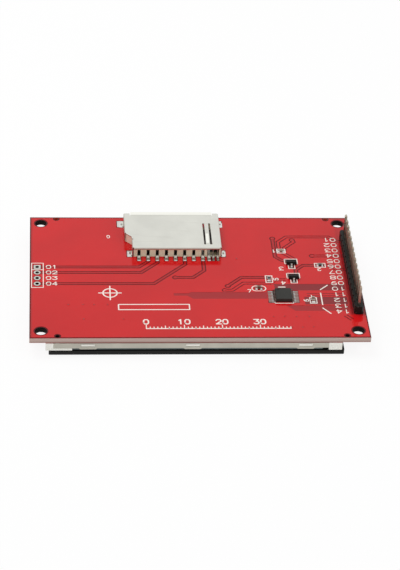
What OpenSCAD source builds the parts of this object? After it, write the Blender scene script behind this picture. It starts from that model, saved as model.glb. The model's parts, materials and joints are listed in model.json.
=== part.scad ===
// Colour display module: a display panel with a resistive touch panel, taped face down under
// a circuit board that carries a memory card socket, a pin header and the touch controller.
// Millimetres, +Z up. The display face lies on z = 0 and the origin is the middle of the
// underside. Places on the board are measured from its near left corner.

/* [Circuit board] */
// Length of the board, along X
board_l = 89.3; // [80:0.1:100]
// Width of the board, along Y
board_w = 55.04; // [49:0.02:62]
// Thickness of the laminate
board_t = 1.565; // [0.8:0.005:2.4]
// Thickness of the copper layer with its lacquer
copper_t = 0.035; // [0.02:0.005:0.1]
// Distance of the copper from the board's edges
copper_inset = 0.3; // [0.2:0.05:1]
// Diameter of the mounting holes
mount_hole_d = 3.2; // [2.2:0.1:3.4]
// Distance of the mounting holes from both edges
mount_inset = 3; // [2.6:0.1:3.4]
// Diameter of the copper-free ring round a mounting hole
mount_ring_d = 3.9; // [3.6:0.1:5]
// Diameter of the locating holes beside the long edges
locating_d = 1.2; // [0.8:0.1:1.2]
// Distance of the locating holes from the long edges
locating_inset = 0.8; // [0.8:0.05:1.2]
// Distance of the left locating holes from the left edge
locating_left = 7.3; // [6:0.1:10]
// Distance of the right locating holes from the right edge
locating_right = 6.2; // [6:0.1:10]

/* [Copper and lands] */
// Width of the signal tracks
track_w = 0.6; // [0.3:0.05:0.8]
// Width of the etched gap beside a track
track_gap = 0.3; // [0.15:0.05:0.4]
// Diameter of the land round a via
via_d = 1.1; // [0.8:0.05:1.3]
// Height of a tinned land above the copper layer
land_rise = 0.015; // [0.01:0.005:0.05]
// Width of the bare ring round a tinned land
land_gap = 0.2; // [0.1:0.01:0.25]

/* [Card socket] */
// Distance of the socket's middle from the board's middle, to the left
socket_left = 5.45; // [2:0.01:8]
// Distance of the socket's mouth from the board's far edge
mouth_inset = 2.44; // [1.8:0.02:3]
// Depth of the shell from the rear face to the mouth
shell_d = 16.4; // [16.2:0.1:17.8]
// Height of the shell above the board
shell_h = 3.05; // [2.9:0.05:3.6]
// Thickness of the sheet metal
shell_t = 0.2; // [0.15:0.01:0.25]
// Radius of the folds, to the middle of the sheet
fold_r = 0.3; // [0.2:0.05:0.4]
// Height at which the shell's side walls end above the board
wall_foot = 0.35; // [0.2:0.05:0.8]
// Width of the step at the shell's near left corner
corner_w = 1.9; // [1.8:0.1:2.6]
// Place where the step's slanted edge starts, from the rear face
corner_y = 5.1; // [4.8:0.1:5.6]
// Length of the folded wall beside the step
corner_fold = 3.9; // [3:0.1:4.2]
// Width of the relief slit at the end of that wall
slit_w = 0.25; // [0.2:0.05:0.4]
// Length of a solder tab along the shell
tab_l = 1.8; // [1.2:0.1:2.4]
// Reach of a solder tab out from the shell
tab_out = 0.9; // [0.6:0.1:1.3]
// Distance of the tabs from the rear face and from the mouth
tab_inset = 0.4; // [0.2:0.1:1]
// Length of the raised lip at the mouth
lip_l = 1; // [0.6:0.1:1.4]
// Angle of the raised lip
lip_angle = 30; // [10:1:40]
// Distance of the lip's ends from the shell's corners
lip_inset = 1.9; // [1.4:0.1:3]
// Width of the spring tongue in the shell's top
tongue_w = 1.1; // [0.9:0.05:1.6]
// Width of the slots beside the tongue
tongue_slot = 0.55; // [0.3:0.05:0.6]
// Place of the tongue's middle, from the socket's middle
tongue_x = 9.57; // [8.5:0.1:10]
// Distance of the tongue's free end from the rear face
tongue_y0 = 1.8; // [1.7:0.1:3]
// Distance of the tongue's root from the rear face
tongue_y1 = 11.5; // [11:0.1:13]
// Depth to which the tongue's free end dips
tongue_dip = 0.5; // [0.2:0.05:0.6]
// Depth of the moulded block that holds the contacts
block_d = 3.9; // [3.6:0.1:4.2]
// Thickness of the moulded floor
floor_t = 0.55; // [0.5:0.01:0.6]
// Width of the space for the card
card_w = 24.1; // [22:0.1:26.5]
// Width of the moulding and the shell together, on each side of the card
socket_side = 1.175; // [1.1:0.005:1.3]
// Size of the card's slanted corner
card_corner = 4; // [3.8:0.1:4.2]
// Clearance between the moulding and the shell's walls
housing_gap = 0.05; // [0.03:0.01:0.1]
// Diameter of the locating pegs under the moulding
peg_d = 1.5; // [1:0.1:1.8]
// Clearance round a peg in its hole
peg_gap = 0.05; // [0.03:0.01:0.15]
// Width of a contact
contact_w = 0.7; // [0.5:0.05:0.75]
// Thickness of a contact
contact_t = 0.15; // [0.1:0.01:0.18]
// Length of a contact's tail behind the socket
tail_l = 1.9; // [1.6:0.1:2.1]
// Width of the slots that hold the contacts
slot_w = 0.85; // [0.8:0.05:1]
// Height of the slots' floor above the board
slot_floor = 0.345; // [0.25:0.005:0.35]
// Height of the slots' upper end
slot_top = 2.2; // [1.8:0.05:2.3]
// Height to which a contact springs above its root
contact_rise = 0.85; // [0.5:0.05:1.1]

/* [Pin header] */
// Number of pins
pin_count = 14; // [4:1:16]
// Pitch of the pins
pin_pitch = 2.54; // [2.54:0.01:2.54]
// Distance of the pin row from the board's right edge
header_inset = 2.1; // [1.9:0.05:2.4]
// Offset of the row's middle from the board's middle, along Y
header_offset = 0.18; // [-1:0.02:1]
// Height of the moulded strip
strip_h = 2.5; // [2:0.1:3]
// Width of the moulded strip
strip_w = 2.45; // [2:0.05:2.54]
// Size of the notches between the strip's cells
strip_notch = 0.45; // [0.2:0.05:0.6]
// Side of a pin's square section
pin_s = 0.64; // [0.5:0.01:0.66]
// Length of a pin above the strip
pin_up = 6; // [4:0.5:10]
// Length of a pin below the board
pin_down = 1.4; // [1.1:0.1:2.4]
// Length of the taper at a pin's ends
pin_taper = 0.5; // [0.2:0.05:0.6]
// Diameter of the header's holes in the board
pin_hole_d = 1.02; // [0.98:0.02:1.1]
// Height of the solder cone round a pin
cone_h = 0.9; // [0.5:0.05:1]

/* [Card breakout pads] */
// Number of breakout pads
breakout_count = 4; // [2:1:4]
// Pitch of the breakout pads
breakout_pitch = 2.54; // [2.54:0.01:2.54]
// Distance of the pads from the board's left edge
breakout_inset = 2; // [1.6:0.1:2.4]
// Distance of the row's middle from the socket's rear face
breakout_drop = 8.68; // [8.4:0.02:9]
// Diameter of a pad
breakout_pad_d = 1.85; // [1.6:0.05:2]
// Diameter of a plated hole
breakout_hole_d = 1; // [0.8:0.05:1.1]
// Thickness of the plating in a hole
plating_t = 0.03; // [0.02:0.01:0.05]

/* [Small parts] */
// Distance of the touch controller's middle from the board's right edge
controller_in = 21.5; // [20:0.1:24]
// Distance of the touch controller's middle from the board's near edge
controller_up = 17.75; // [17:0.05:18.5]
// Length of the controller's body, along Y
controller_l = 5; // [5:0.1:5.4]
// Width of the controller's body, along X
controller_w = 4.4; // [4:0.1:4.6]
// Height of the controller's body
controller_h = 1; // [0.8:0.05:1.2]
// Number of leads on each side
controller_leads = 8; // [4:1:8]
// Pitch of the controller's leads
lead_pitch = 0.65; // [0.6:0.01:0.65]
// Width over the controller's leads
controller_span = 6.4; // [6:0.1:7]
// Distance of both three-lead parts from the board's right edge
sot_in = 17.95; // [17:0.05:19]
// Distance of the regulator's middle from the board's near edge
regulator_up = 32.7; // [32:0.1:33]
// Distance of the transistor's middle from the board's near edge
transistor_up = 26.1; // [25.8:0.1:26.6]
// Length of a three-lead body, along X
sot_l = 2.9; // [2.6:0.1:3.1]
// Width of a three-lead body, along Y
sot_w = 1.3; // [1.1:0.1:1.5]
// Height of a three-lead body
sot_h = 1; // [0.8:0.05:1.2]
// Width over a three-lead body's leads
sot_span = 2.4; // [2.2:0.1:2.6]
// Distance of a moulded body from the board
standoff = 0.1; // [0.06:0.01:0.2]
// Draft of the moulded bodies' sides
body_draft = 0.1; // [0.05:0.01:0.15]
// Thickness of the leads
lead_t = 0.15; // [0.1:0.01:0.2]
// Length of a chip part
chip_l = 1.6; // [1.4:0.1:1.8]
// Width of a chip part
chip_w = 0.8; // [0.6:0.05:1]
// Height of a resistor
resistor_h = 0.45; // [0.3:0.05:0.6]
// Height of a capacitor
capacitor_h = 0.8; // [0.6:0.05:0.9]
// Length of a chip part's end cap
chip_end = 0.35; // [0.2:0.05:0.45]

/* [Display panel] */
// Distance of the panel from the board's left edge
display_x = 4.2; // [4:0.1:4.6]
// Distance of the panel from the board's right edge
display_end = 7.4; // [7.2:0.1:8]
// Distance of the panel from the board's long edges
display_side = 0.12; // [0.1:0.02:0.5]
// Thickness of the tape between panel and board
tape_t = 0.3; // [0.25:0.05:0.8]
// Thickness of the sheet metal back
back_t = 0.15; // [0.1:0.01:0.2]
// Depth of the back's folded skirt
skirt_h = 1.6; // [1.4:0.05:1.65]
// Length of the frame's full-height left end
left_end = 2; // [1.6:0.1:2.4]
// Length of the frame's full-height right end
right_end = 3.5; // [3:0.1:4]
// Thickness of the frame's long walls
wall_t = 1.3; // [1.1:0.1:1.5]
// Length of the corner ledges beside the glass
ledge_l = 6.9; // [5:0.1:10]
// Width of a snap hook
hook_w = 3.4; // [2.6:0.1:4]
// Thickness of each sheet of display glass
glass_t = 0.5; // [0.4:0.05:0.7]
// Distance of the glass from the frame's outer faces
glass_inset = 0.4; // [0.35:0.05:0.6]
// Distance of the glass from the frame's left end
glass_x0 = 2.7; // [2.6:0.1:3]
// Thickness of the frame's right end wall
end_wall = 1; // [0.8:0.1:1.2]
// Length of the lower glass that carries the driver
driver_ledge = 4; // [3.8:0.1:4.4]
// Thickness of a polariser
polariser_t = 0.15; // [0.12:0.01:0.25]
// Thickness of the black rim tape
rim_tape_t = 0.1; // [0.05:0.01:0.11]
// Thickness of each optical film
film_t = 0.1; // [0.08:0.01:0.15]
// Thickness of the light guide
guide_t = 0.6; // [0.5:0.05:0.9]
// Thickness of the reflector
reflector_t = 0.1; // [0.08:0.01:0.15]
// Thickness of the flexible circuits
flex_t = 0.1; // [0.08:0.01:0.12]
// Width of the display flex
flex_w = 22; // [16:0.5:24]
// Number of contacts at the end of the display flex
flex_lands = 18; // [6:1:18]
// Number of backlight diodes
led_count = 6; // [3:1:8]

/* [Touch panel] */
// Offset of the touch panel from the frame, towards the right
touch_x = 0.8; // [0.2:0.1:1]
// Amount by which the touch panel is shorter than the frame
touch_short = 0.1; // [0:0.1:1]
// Distance of the touch panel from the frame's long faces
touch_side = 0.15; // [0:0.05:0.6]
// Radius of the touch panel's corners
touch_r = 0.3; // [0.2:0.1:1.5]
// Thickness of the upper, flexible film
touch_film_t = 0.2; // [0.15:0.01:0.3]
// Thickness of the glue frame between film and glass
spacer_t = 0.1; // [0.08:0.01:0.12]
// Thickness of the touch panel's glass
touch_glass_t = 0.9; // [0.7:0.05:1.1]
// Thickness of the gasket that holds the touch panel
gasket_t = 0.2; // [0.15:0.01:0.4]
// Width of the gasket and of the glue frame
gasket_w = 2.6; // [2.2:0.1:3]

/* [Hidden] */
$fn = 48;

// ---- Heights, from the display face up -------------------------------------------------
spacer_z = touch_film_t;
touch_glass_z = spacer_z + spacer_t;
gasket_z = touch_glass_z + touch_glass_t;
front_polariser_z = gasket_z + gasket_t;
filter_z = front_polariser_z + polariser_t;
tft_z = filter_z + glass_t;
rear_polariser_z = tft_z + glass_t;
film_z = rear_polariser_z + polariser_t;
guide_z = film_z + 3 * film_t;
reflector_z = guide_z + guide_t;
back_z = reflector_z + reflector_t;
tape_z = back_z + back_t;
board_z = tape_z + tape_t;
board_top = board_z + board_t + copper_t;
wall_z = rear_polariser_z + rim_tape_t;

// ---- Places shared between pieces ------------------------------------------------------
frame_l = board_l - display_x - display_end;
frame_w = board_w - 2 * display_side;
touch_l = frame_l - touch_short;
touch_w = frame_w - 2 * touch_side;
hooks_x = [frame_l * 0.142, frame_l * 0.494, frame_l * 0.876];
glass_x1 = frame_l - end_wall - 0.05;
filter_x1 = glass_x1 - driver_ledge;
opening_x0 = glass_x0 + 0.2;
opening_x1 = glass_x1 - 0.85;
opening_inset = back_t + wall_t;
guide_x1 = filter_x1;
view_x0 = glass_x0 + 2.2;
view_x1 = filter_x1 - 0.6;
view_inset = 2.6;
flex_y0 = 12.5;
flex_land_l = 2.4;
tail_y = frame_w - 11.8;
led_tail_y = frame_w - 16.6;
tail_w = 4;
led_tail_w = 3;
tail_land_x = frame_l + 3.4;
tail_land_l = 1;
flex_end_x = frame_l - 11.7;
driver_l = frame_w / 3;
driver_w = 1.4;
driver_h = 0.35;

shell_w = card_w + 2 * socket_side;
socket_x = board_l / 2 - socket_left;
socket_y = board_w - mouth_inset - shell_d;
shell_top_mid = shell_h - shell_t / 2;
shell_edge = fold_r + shell_t / 2 + 0.05;
housing_h = shell_h - shell_t;
housing_w = shell_w - 2 * (shell_t + housing_gap);
housing_slant = corner_w + corner_y - shell_w / 2 + 0.6;
card_slant = block_d - card_w / 2 + card_corner;
rail_end = shell_d - 1.3;
// The contacts lie where the card has its lands: eight at 2.5 mm and a ninth at 1.7 mm
contact_pitch = card_w * 2.5 / 24.1;
last_step = contact_pitch * 0.68;
leaf_step = contact_pitch * 0.48;
contact_x0 = -3.78 * contact_pitch;
contact_xs = concat([for (i = [0:7]) contact_x0 + i * contact_pitch],
                    [contact_x0 + 7 * contact_pitch + last_step]);
leaf_xs = [contact_xs[8] + leaf_step, contact_xs[8] + 2 * leaf_step];
bay_x0 = contact_xs[8] - slot_w / 2 - 0.1;
bay_x1 = leaf_xs[1] + 0.35;
bay_top = slot_top + 0.25;
leaf_w = 0.5;
pegs_at = [[2.75 - card_w / 2, 11.5], [card_w / 2 - 2.75, 11.5]];
chip_land_l = 0.6;
controller_land_l = 1.85;
lead_w = 0.24;
sot_lead_w = 0.42;
controller_at = from_right([[controller_in, controller_up]])[0];
regulator_at = from_right([[sot_in, regulator_up]])[0];
transistor_at = from_right([[sot_in, transistor_up]])[0];
header_y = board_w / 2 + header_offset;
breakout_mid = socket_y - breakout_drop;

// Points given by their distance from the right edge
function from_right(points) = [for (p = points) [board_l - p[0], p[1]]];
function pin_y(i) = header_y + (i - (pin_count - 1) / 2) * pin_pitch;
function breakout_y(i) = breakout_mid + ((breakout_count - 1) / 2 - i) * breakout_pitch;
function mount_holes() = [for (x = [mount_inset, board_l - mount_inset],
                               y = [mount_inset, board_w - mount_inset]) [x, y]];
function locating_holes() = [for (x = [locating_left, board_l - locating_right],
                                  y = [locating_inset, board_w - locating_inset]) [x, y]];
function flex_land_y(i) = flex_y0 + flex_w * (i + 1) / (flex_lands + 1);

// Chip parts: middle and turn about Z
resistors = [[from_right([[20.2, 38.8]])[0], 0], [from_right([[10.1, 32.1]])[0], 0],
             [from_right([[24.7, 25.7]])[0], 90]];
capacitors = [[from_right([[27.8, 21.5]])[0], 0], [from_right([[13.6, 16.1]])[0], 90]];

// ---- Bent strips and tracks ------------------------------------------------------------
function dir(a, b) = (b - a) / norm(b - a);
function left_of(v) = [-v[1], v[0]];
function turned(v, a) = [v[0] * cos(a) - v[1] * sin(a), v[0] * sin(a) + v[1] * cos(a)];
function cleaned(p) = [for (i = [0:len(p) - 1]) if (i == 0 || norm(p[i] - p[i - 1]) > 0.001) p[i]];

// Arc of radius r that replaces the corner b of the path a, b, c
function bend(a, b, c, r, steps = 5) =
    let (u = dir(a, b), v = dir(b, c), turn = atan2(cross(u, v), u * v),
         start = b - u * r * abs(tan(turn / 2)), mid = start + left_of(u) * r * sign(turn))
    [for (k = [0:steps]) mid + turned(start - mid, turn * k / steps)];
function bent(p, r) =
    [p[0], for (i = [1:len(p) - 2]) each bend(p[i - 1], p[i], p[i + 1], r), p[len(p) - 1]];

// Outline of a strip of thickness t along the path p, with mitred corners
function mitre(p, i) =
    i == 0 ? left_of(dir(p[0], p[1])) :
    i == len(p) - 1 ? left_of(dir(p[i - 1], p[i])) :
    let (a = left_of(dir(p[i - 1], p[i])), b = left_of(dir(p[i], p[i + 1]))) (a + b) / (1 + a * b);
function strip_outline(p, t) =
    concat([for (i = [0:len(p) - 1]) p[i] - mitre(p, i) * t / 2],
           [for (i = [len(p) - 1:-1:0]) p[i] + mitre(p, i) * t / 2]);

// Strip whose path lies in the YZ plane, w wide along X
module strip_x(p, t, w) {
    rotate([90, 0, 90]) linear_extrude(w, center = true) polygon(strip_outline(cleaned(p), t));
}

// Strip whose path lies in the XZ plane, w wide along Y
module strip_y(p, t, w) {
    rotate([90, 0, 0]) linear_extrude(w, center = true) polygon(strip_outline(cleaned(p), t));
}

// Box between two opposite corners
module box(a, b) {
    translate(a) cube(b - a);
}

module at_board() {
    translate([-board_l / 2, -board_w / 2, board_top]) children();
}

module at_socket() {
    at_board() translate([socket_x, socket_y, 0]) children();
}

module at_display() {
    translate([display_x - board_l / 2, -frame_w / 2, 0]) children();
}

// ---- Lands, as [middle, size] -----------------------------------------------------------
contact_lands = concat(
    [for (x = contact_xs) [[socket_x + x, socket_y - tail_l / 2 - 0.1], [0.9, tail_l]]],
    [for (x = leaf_xs) [[socket_x + x, socket_y - tail_l / 2 - 0.1], [0.65, tail_l]]]);
tab_lands = [
    for (t = shell_tabs()) [[socket_x + t[0] + t[1] * (t[3] / 2), socket_y + t[2] + t[4]],
                            [t[3], tab_l + 1.1]]];
sot_lands = [for (at = [regulator_at, transistor_at], p = [[-0.95, 1], [0.95, 1], [0, -1]])
    [at + [p[0], p[1] * (sot_w / 2 + 0.6)], [0.9, 1.2]]];
chip_lands = [for (c = concat(resistors, capacitors), s = [-1, 1])
    [c[0] + turned([s * (chip_l / 2 - 0.1), 0], c[1]),
     c[1] == 0 ? [chip_land_l, chip_w + 0.1] : [chip_w + 0.1, chip_land_l]]];
controller_lands = [for (i = [0:controller_leads - 1], s = [-1, 1])
    [controller_at + [s * (controller_w + controller_land_l) / 2,
                      (i - (controller_leads - 1) / 2) * lead_pitch],
     [controller_land_l, lead_w + 0.18]]];

// Solder tabs of the shell: wall face, side, middle along Y, length of the land, its offset
function shell_tabs() = [
    [shell_w / 2, 1, tab_inset + tab_l / 2, tab_out + 0.15, 0],
    [shell_w / 2, 1, shell_d - tab_inset - tab_l / 2, tab_out + 0.15, 0.4],
    [corner_w - shell_w / 2, -1, tab_inset + tab_l / 2, tab_out + 0.4, 0],
    [-shell_w / 2, -1, shell_d - tab_inset - tab_l / 2, tab_out + 0.85, 0.4]];

module land_shapes(lands, grow = 0) {
    for (l = lands) translate(l[0]) square(l[1] + 2 * [grow, grow], center = true);
}

// ---- Tracks -----------------------------------------------------------------------------
// From a contact's land down, at 45 degrees to the left, then level to x
function contact_track(i, drop, y, x) =
    let (cx = socket_x + contact_xs[i], turn_y = socket_y - drop)
    [[cx, socket_y - tail_l], [cx, turn_y], [cx - turn_y + y, y], [x, y]];
pad_edge = breakout_inset + breakout_pad_d / 2;
strip_in = header_inset + strip_w / 2;
right_tracks = [
    [[36.1, 22.6], [32.2, 26.5], [24.6, 26.5]],
    [[37, 20.7], [35, 20.7], [31.8, 23.9], [23.1, 23.9]],
    [[22.1, 44.8], [22.1, 36.1], [20.3, 34.3], [sot_in + 0.95, 34.25]],
    [[strip_in, 43.3], [4.5, 43.8], [6.3, 45.6], [18.2, 45.6], [20.7, 43.1], [20.7, 38.9]],
    [[16.7, 44], [16.3, 43.2], [19.2, 40.3], [19.2, 38.9]],
    [[19.2, 38.2], [19.6, 37.7], [17, 35.1], [sot_in - 0.95, 34.25]],
    [[11.8, 36.5], [strip_in, 36.5]],
    [[sot_in - 0.95, 27.65], [17, 29.9], [14.8, 32.1], [10.7, 32.1]],
    [[9.2, 32.1], [7.7, 32.1], [5.9, 30.3], [strip_in, 30.3]],
    [[23.3, 25.4], [20.1, 25.4]],
    [[15.1, 18.7], [4.9, 18.7]],
    [[5.7, 9.5], [4.1, 7.6]]
];
tracks = concat([
    contact_track(1, 2.2, breakout_y(0), pad_edge),
    contact_track(2, 2.8, breakout_y(1), pad_edge),
    contact_track(5, 3.6, breakout_y(3), pad_edge),
    contact_track(7, 6.5, socket_y - 9.7, socket_x)
], [for (t = right_tracks) from_right(t)]);
vias = concat([[socket_x, socket_y - 9.7]],
              from_right([[36.1, 22.6], [37, 20.7], [22.1, 44.8], [16.7, 44], [11.8, 36.5]]));
// Areas without copper beside the touch controller
bare_areas = [
    from_right([[50.9, 19.4], [46.8, 19.4], [46.2, 19.9], [25.8, 19.9], [25.8, 16.9], [45.8, 16.9],
                [47.3, 18.3], [50.9, 18.3]]),
    from_right([[23.5, 23.5], [4.4, 23.5], [4.4, 20.6], [23.5, 20.6]]),
    from_right([[15.9, 17.7], [4.4, 17.7], [4.4, 14.3], [15.9, 14.3]]),
    from_right([[21.1, 13.9], [4.4, 13.9], [4.4, 11.5], [18.8, 11.5]])
];

module track_shapes(w) {
    for (p = tracks) polygon(strip_outline(p, w));
}

module circles(places, d) {
    for (p = places) translate(p) circle(d = d);
}

header_places = [for (i = [0:pin_count - 1]) [board_l - header_inset, pin_y(i)]];
breakout_places = [for (i = [0:breakout_count - 1]) [breakout_inset, breakout_y(i)]];
peg_places = [for (p = pegs_at) [socket_x, socket_y] + p];

// ---- Board ------------------------------------------------------------------------------
module circuit_board() {
    color([0.72, 0.08, 0.09])
    translate([-board_l / 2, -board_w / 2, board_z]) linear_extrude(board_t) difference() {
        square([board_l, board_w]);
        circles(mount_holes(), mount_hole_d);
        circles(locating_holes(), locating_d);
        circles(header_places, pin_hole_d);
        circles(breakout_places, breakout_hole_d + 2 * plating_t);
        circles(peg_places, peg_d + 2 * peg_gap);
    }
}

module copper_layer() {
    color([0.8, 0.22, 0.23])
    at_board() translate([0, 0, -copper_t]) linear_extrude(copper_t) {
        difference() {
            translate([copper_inset, copper_inset])
                square([board_l - 2 * copper_inset, board_w - 2 * copper_inset]);
            circles(mount_holes(), mount_ring_d);
            circles(locating_holes(), locating_d + 0.7);
            circles(header_places, pin_hole_d + 0.6);
            circles(peg_places, peg_d + 4 * peg_gap);
            circles(breakout_places, breakout_pad_d + 2 * land_gap);
            translate([breakout_inset, breakout_y(0)])
                square(breakout_pad_d + 2 * land_gap, center = true);
            track_shapes(track_w + 2 * track_gap);
            circles(vias, via_d + 2 * track_gap);
            for (a = bare_areas) polygon(a);
            all_land_gaps();
        }
        difference() {
            union() {
                track_shapes(track_w);
                circles(vias, via_d);
            }
            circles(breakout_places, breakout_pad_d + 2 * land_gap);
            circles(header_places, pin_hole_d + 0.6);
            all_land_gaps();
        }
    }
}

module all_land_gaps() {
    land_shapes(concat(contact_lands, tab_lands, sot_lands, chip_lands), land_gap);
    for (s = [-1, 1]) translate(controller_at + [s * (controller_w + controller_land_l) / 2, 0])
        square([controller_land_l + 2 * land_gap, controller_leads * lead_pitch + 2 * land_gap],
               center = true);
}

module solder_lands() {
    color([0.78, 0.78, 0.76]) {
        at_board() translate([0, 0, -copper_t]) linear_extrude(copper_t + land_rise)
            land_shapes(concat(contact_lands, tab_lands, sot_lands, chip_lands, controller_lands));
        translate([-board_l / 2, -board_w / 2, board_z - copper_t]) linear_extrude(copper_t)
            difference() {
                circles(header_places, pin_hole_d + 0.7);
                circles(header_places, pin_hole_d);
            }
        at_display() translate([0, 0, board_z - copper_t]) linear_extrude(copper_t) {
            for (i = [0:flex_lands - 1]) translate([flex_end_x + 0.3, flex_land_y(i) - 0.3])
                square([flex_land_l, 0.6]);
            for (i = [-1.5:1.5]) translate([tail_land_x, tail_y + i * tail_w / 4 - 0.3])
                square([tail_land_l, 0.6]);
            for (i = [-0.5, 0.5]) translate([tail_land_x, led_tail_y + i * led_tail_w / 2 - 0.5])
                square([tail_land_l, 1]);
        }
    }
}

module breakout_lands() {
    color([0.8, 0.8, 0.77])
    for (i = [0:breakout_count - 1]) at_board() translate([breakout_inset, breakout_y(i), 0])
        difference() {
            union() {
                translate([0, 0, -copper_t]) linear_extrude(copper_t + land_rise)
                    if (i == 0) square(breakout_pad_d, center = true);
                    else circle(d = breakout_pad_d);
                translate([0, 0, board_z - board_top - copper_t]) {
                    cylinder(h = copper_t, d = breakout_pad_d);
                    cylinder(h = board_t + 2 * copper_t, d = breakout_hole_d + 2 * plating_t);
                }
            }
            translate([0, 0, -board_t - 1]) cylinder(h = board_t + 2, d = breakout_hole_d);
        }
}

// ---- Card socket ------------------------------------------------------------------------
// Folded edge of the shell: the sheet runs level to the face and turns down to the height z
module side_fold(face, side, y0, y1) {
    x = face - side * shell_t / 2;
    translate([0, (y0 + y1) / 2, 0])
        strip_y(bent([[face - side * (shell_edge + 0.1), shell_top_mid], [x, shell_top_mid],
                      [x, wall_foot]], fold_r), shell_t, y1 - y0);
}

// Wall that runs down to the board and turns out into a solder tab
module solder_tab(face, side, y) {
    x = face - side * shell_t / 2;
    foot = land_rise + shell_t / 2;
    translate([0, y, 0])
        strip_y(bent([[x, wall_foot + 0.5], [x, foot], [face + side * tab_out, foot]],
                     fold_r - 0.05), shell_t, tab_l);
}

module shell_top() {
    left = -shell_w / 2;
    step = left + corner_w;
    slit_y = corner_fold + slit_w;
    cut_w = tongue_w + 2 * tongue_slot;
    lip_w = shell_w - 2 * lip_inset;
    translate([0, 0, shell_h - shell_t]) linear_extrude(shell_t) difference() {
        polygon([[step + shell_edge, fold_r], [-left - shell_edge, fold_r],
                 [-left - shell_edge, shell_d], [left + shell_edge, shell_d],
                 [left + shell_edge, corner_y + corner_w - shell_edge], [step, corner_y],
                 [step, slit_y], [step + shell_edge, slit_y]]);
        translate([tongue_x - cut_w / 2, tongue_y0]) square([cut_w, tongue_y1 - tongue_y0]);
        for (s = [-1, 1]) translate([tongue_x + s * (cut_w - tongue_slot) / 2, tongue_y0])
            circle(d = tongue_slot + 0.15);
        translate([-lip_w / 2 - 0.2, shell_d - 1]) square([lip_w + 0.4, 2]);
    }
}

module tongue() {
    bend_y = tongue_y1 - (tongue_y1 - tongue_y0) * 0.45;
    translate([tongue_x, 0, 0])
        strip_x(bent([[tongue_y1 + 0.2, shell_top_mid], [bend_y, shell_top_mid],
                      [tongue_y0 + 0.45, shell_top_mid - tongue_dip]], 2), shell_t, tongue_w);
}

module mouth_lip() {
    y = shell_d - 1;
    strip_x(bent([[y - 0.2, shell_top_mid], [y + 0.1, shell_top_mid],
                  [y + 0.1 + lip_l * cos(lip_angle), shell_top_mid + lip_l * sin(lip_angle)]],
                 0.2), shell_t, shell_w - 2 * lip_inset);
}

module rear_fold() {
    x0 = corner_w - shell_w / 2 + shell_edge;
    x1 = shell_w / 2 - shell_edge;
    translate([(x0 + x1) / 2, 0, 0])
        strip_x(bent([[fold_r + 0.1, shell_top_mid], [-shell_t / 2, shell_top_mid],
                      [-shell_t / 2, slot_top + 0.3]], fold_r), shell_t, x1 - x0);
}

latch_ys = [5.5, 12];
latch_size = [1.6, 0.7];
latch_z = 1.3;

// Windows in the side walls, and the moulded bosses that snap into them
module latches(face, grow) {
    for (s = [-1, 1], y = latch_ys) if (s > 0 || y > corner_y + corner_w)
        translate([s * face, y, latch_z])
            cube([2 * shell_t, latch_size[0] + grow, latch_size[1] + grow], center = true);
}

module socket_shell() {
    color([0.83, 0.84, 0.81]) at_socket() {
        difference() {
            union() {
                shell_top();
                side_fold(shell_w / 2, 1, 0, shell_d);
                side_fold(-shell_w / 2, -1, corner_y + corner_w, shell_d);
                side_fold(corner_w - shell_w / 2, -1, 0, corner_fold);
            }
            latches(shell_w / 2 - shell_t / 2, 0.2);
        }
        rear_fold();
        mouth_lip();
        tongue();
        for (t = shell_tabs()) solder_tab(t[0], t[1], t[2]);
    }
}

module socket_housing() {
    half = housing_w / 2;
    ease = 0.3;
    step = corner_w - shell_w / 2 + shell_t + 0.25;
    card = card_w / 2;
    color([0.79, 0.69, 0.58]) at_socket() {
        difference() {
            intersection() {
                linear_extrude(housing_h) polygon([
                    [step, 0], [half, 0], [half, rail_end], [-half, rail_end],
                    [-half, housing_slant + half], [step, housing_slant - step]]);
                rotate([90, 0, 0]) linear_extrude(100, center = true) polygon([
                    [-half, 0], [half, 0], [half, housing_h - ease], [half - ease, housing_h],
                    [ease - half, housing_h], [-half, housing_h - ease]]);
                rotate([90, 0, 90]) linear_extrude(100, center = true) polygon([
                    [0, 0], [rail_end, 0], [rail_end, housing_h - ease],
                    [rail_end - ease, housing_h], [ease, housing_h], [0, housing_h - ease]]);
            }
            // Space for the card, with its slanted corner
            translate([0, 0, floor_t]) linear_extrude(housing_h) polygon([
                [card, block_d], [card, 100], [-card, 100], [-card, card_slant + card],
                [card_slant - block_d, block_d]]);
            // The floor stops short of the mouth
            box([-card + 1.5, rail_end - 2, -1], [card - 1.5, 100, housing_h]);
            // Contact slots through the block and grooves in the floor
            for (x = contact_xs) {
                box([x - slot_w / 2, -1, slot_floor], [x + slot_w / 2, block_d + 0.1, slot_top]);
                box([x - slot_w / 2, block_d - 0.1, slot_floor],
                    [x + slot_w / 2, block_d + 4.6, housing_h - 0.5]);
            }
            // Bay and pocket of the switch leaves
            box([bay_x0, -1, slot_floor], [bay_x1, block_d + 1.4, bay_top]);
            box([card - 0.65, block_d, slot_floor], [bay_x1, block_d + 6.6, bay_top]);
            // Relief under the spring tongue
            box([tongue_x - tongue_w / 2 - 0.2, tongue_y0, housing_h - tongue_dip - 0.1],
                [tongue_x + tongue_w / 2 + 0.2, block_d + 0.1, 100]);
        }
        intersection() {
            latches(half - housing_gap, 0);
            box([-half - 0.15, 0, 0], [half + 0.15, rail_end, housing_h]);
        }
        for (p = pegs_at) translate([p[0], p[1], -1.2]) cylinder(h = 1.3, d = peg_d);
    }
}

module socket_contacts() {
    tail_z = land_rise + contact_t / 2;
    root_z = slot_floor + contact_t / 2;
    path = [[-tail_l, tail_z], [-0.75, tail_z], [-0.2, root_z], [block_d, root_z],
            [block_d + 2.7, root_z + contact_rise], [block_d + 3.8, root_z + contact_rise - 0.4]];
    color([0.82, 0.78, 0.68]) at_socket()
        for (x = contact_xs) translate([x, 0, 0]) strip_x(bent(path, 0.15), contact_t, contact_w);
}

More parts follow.
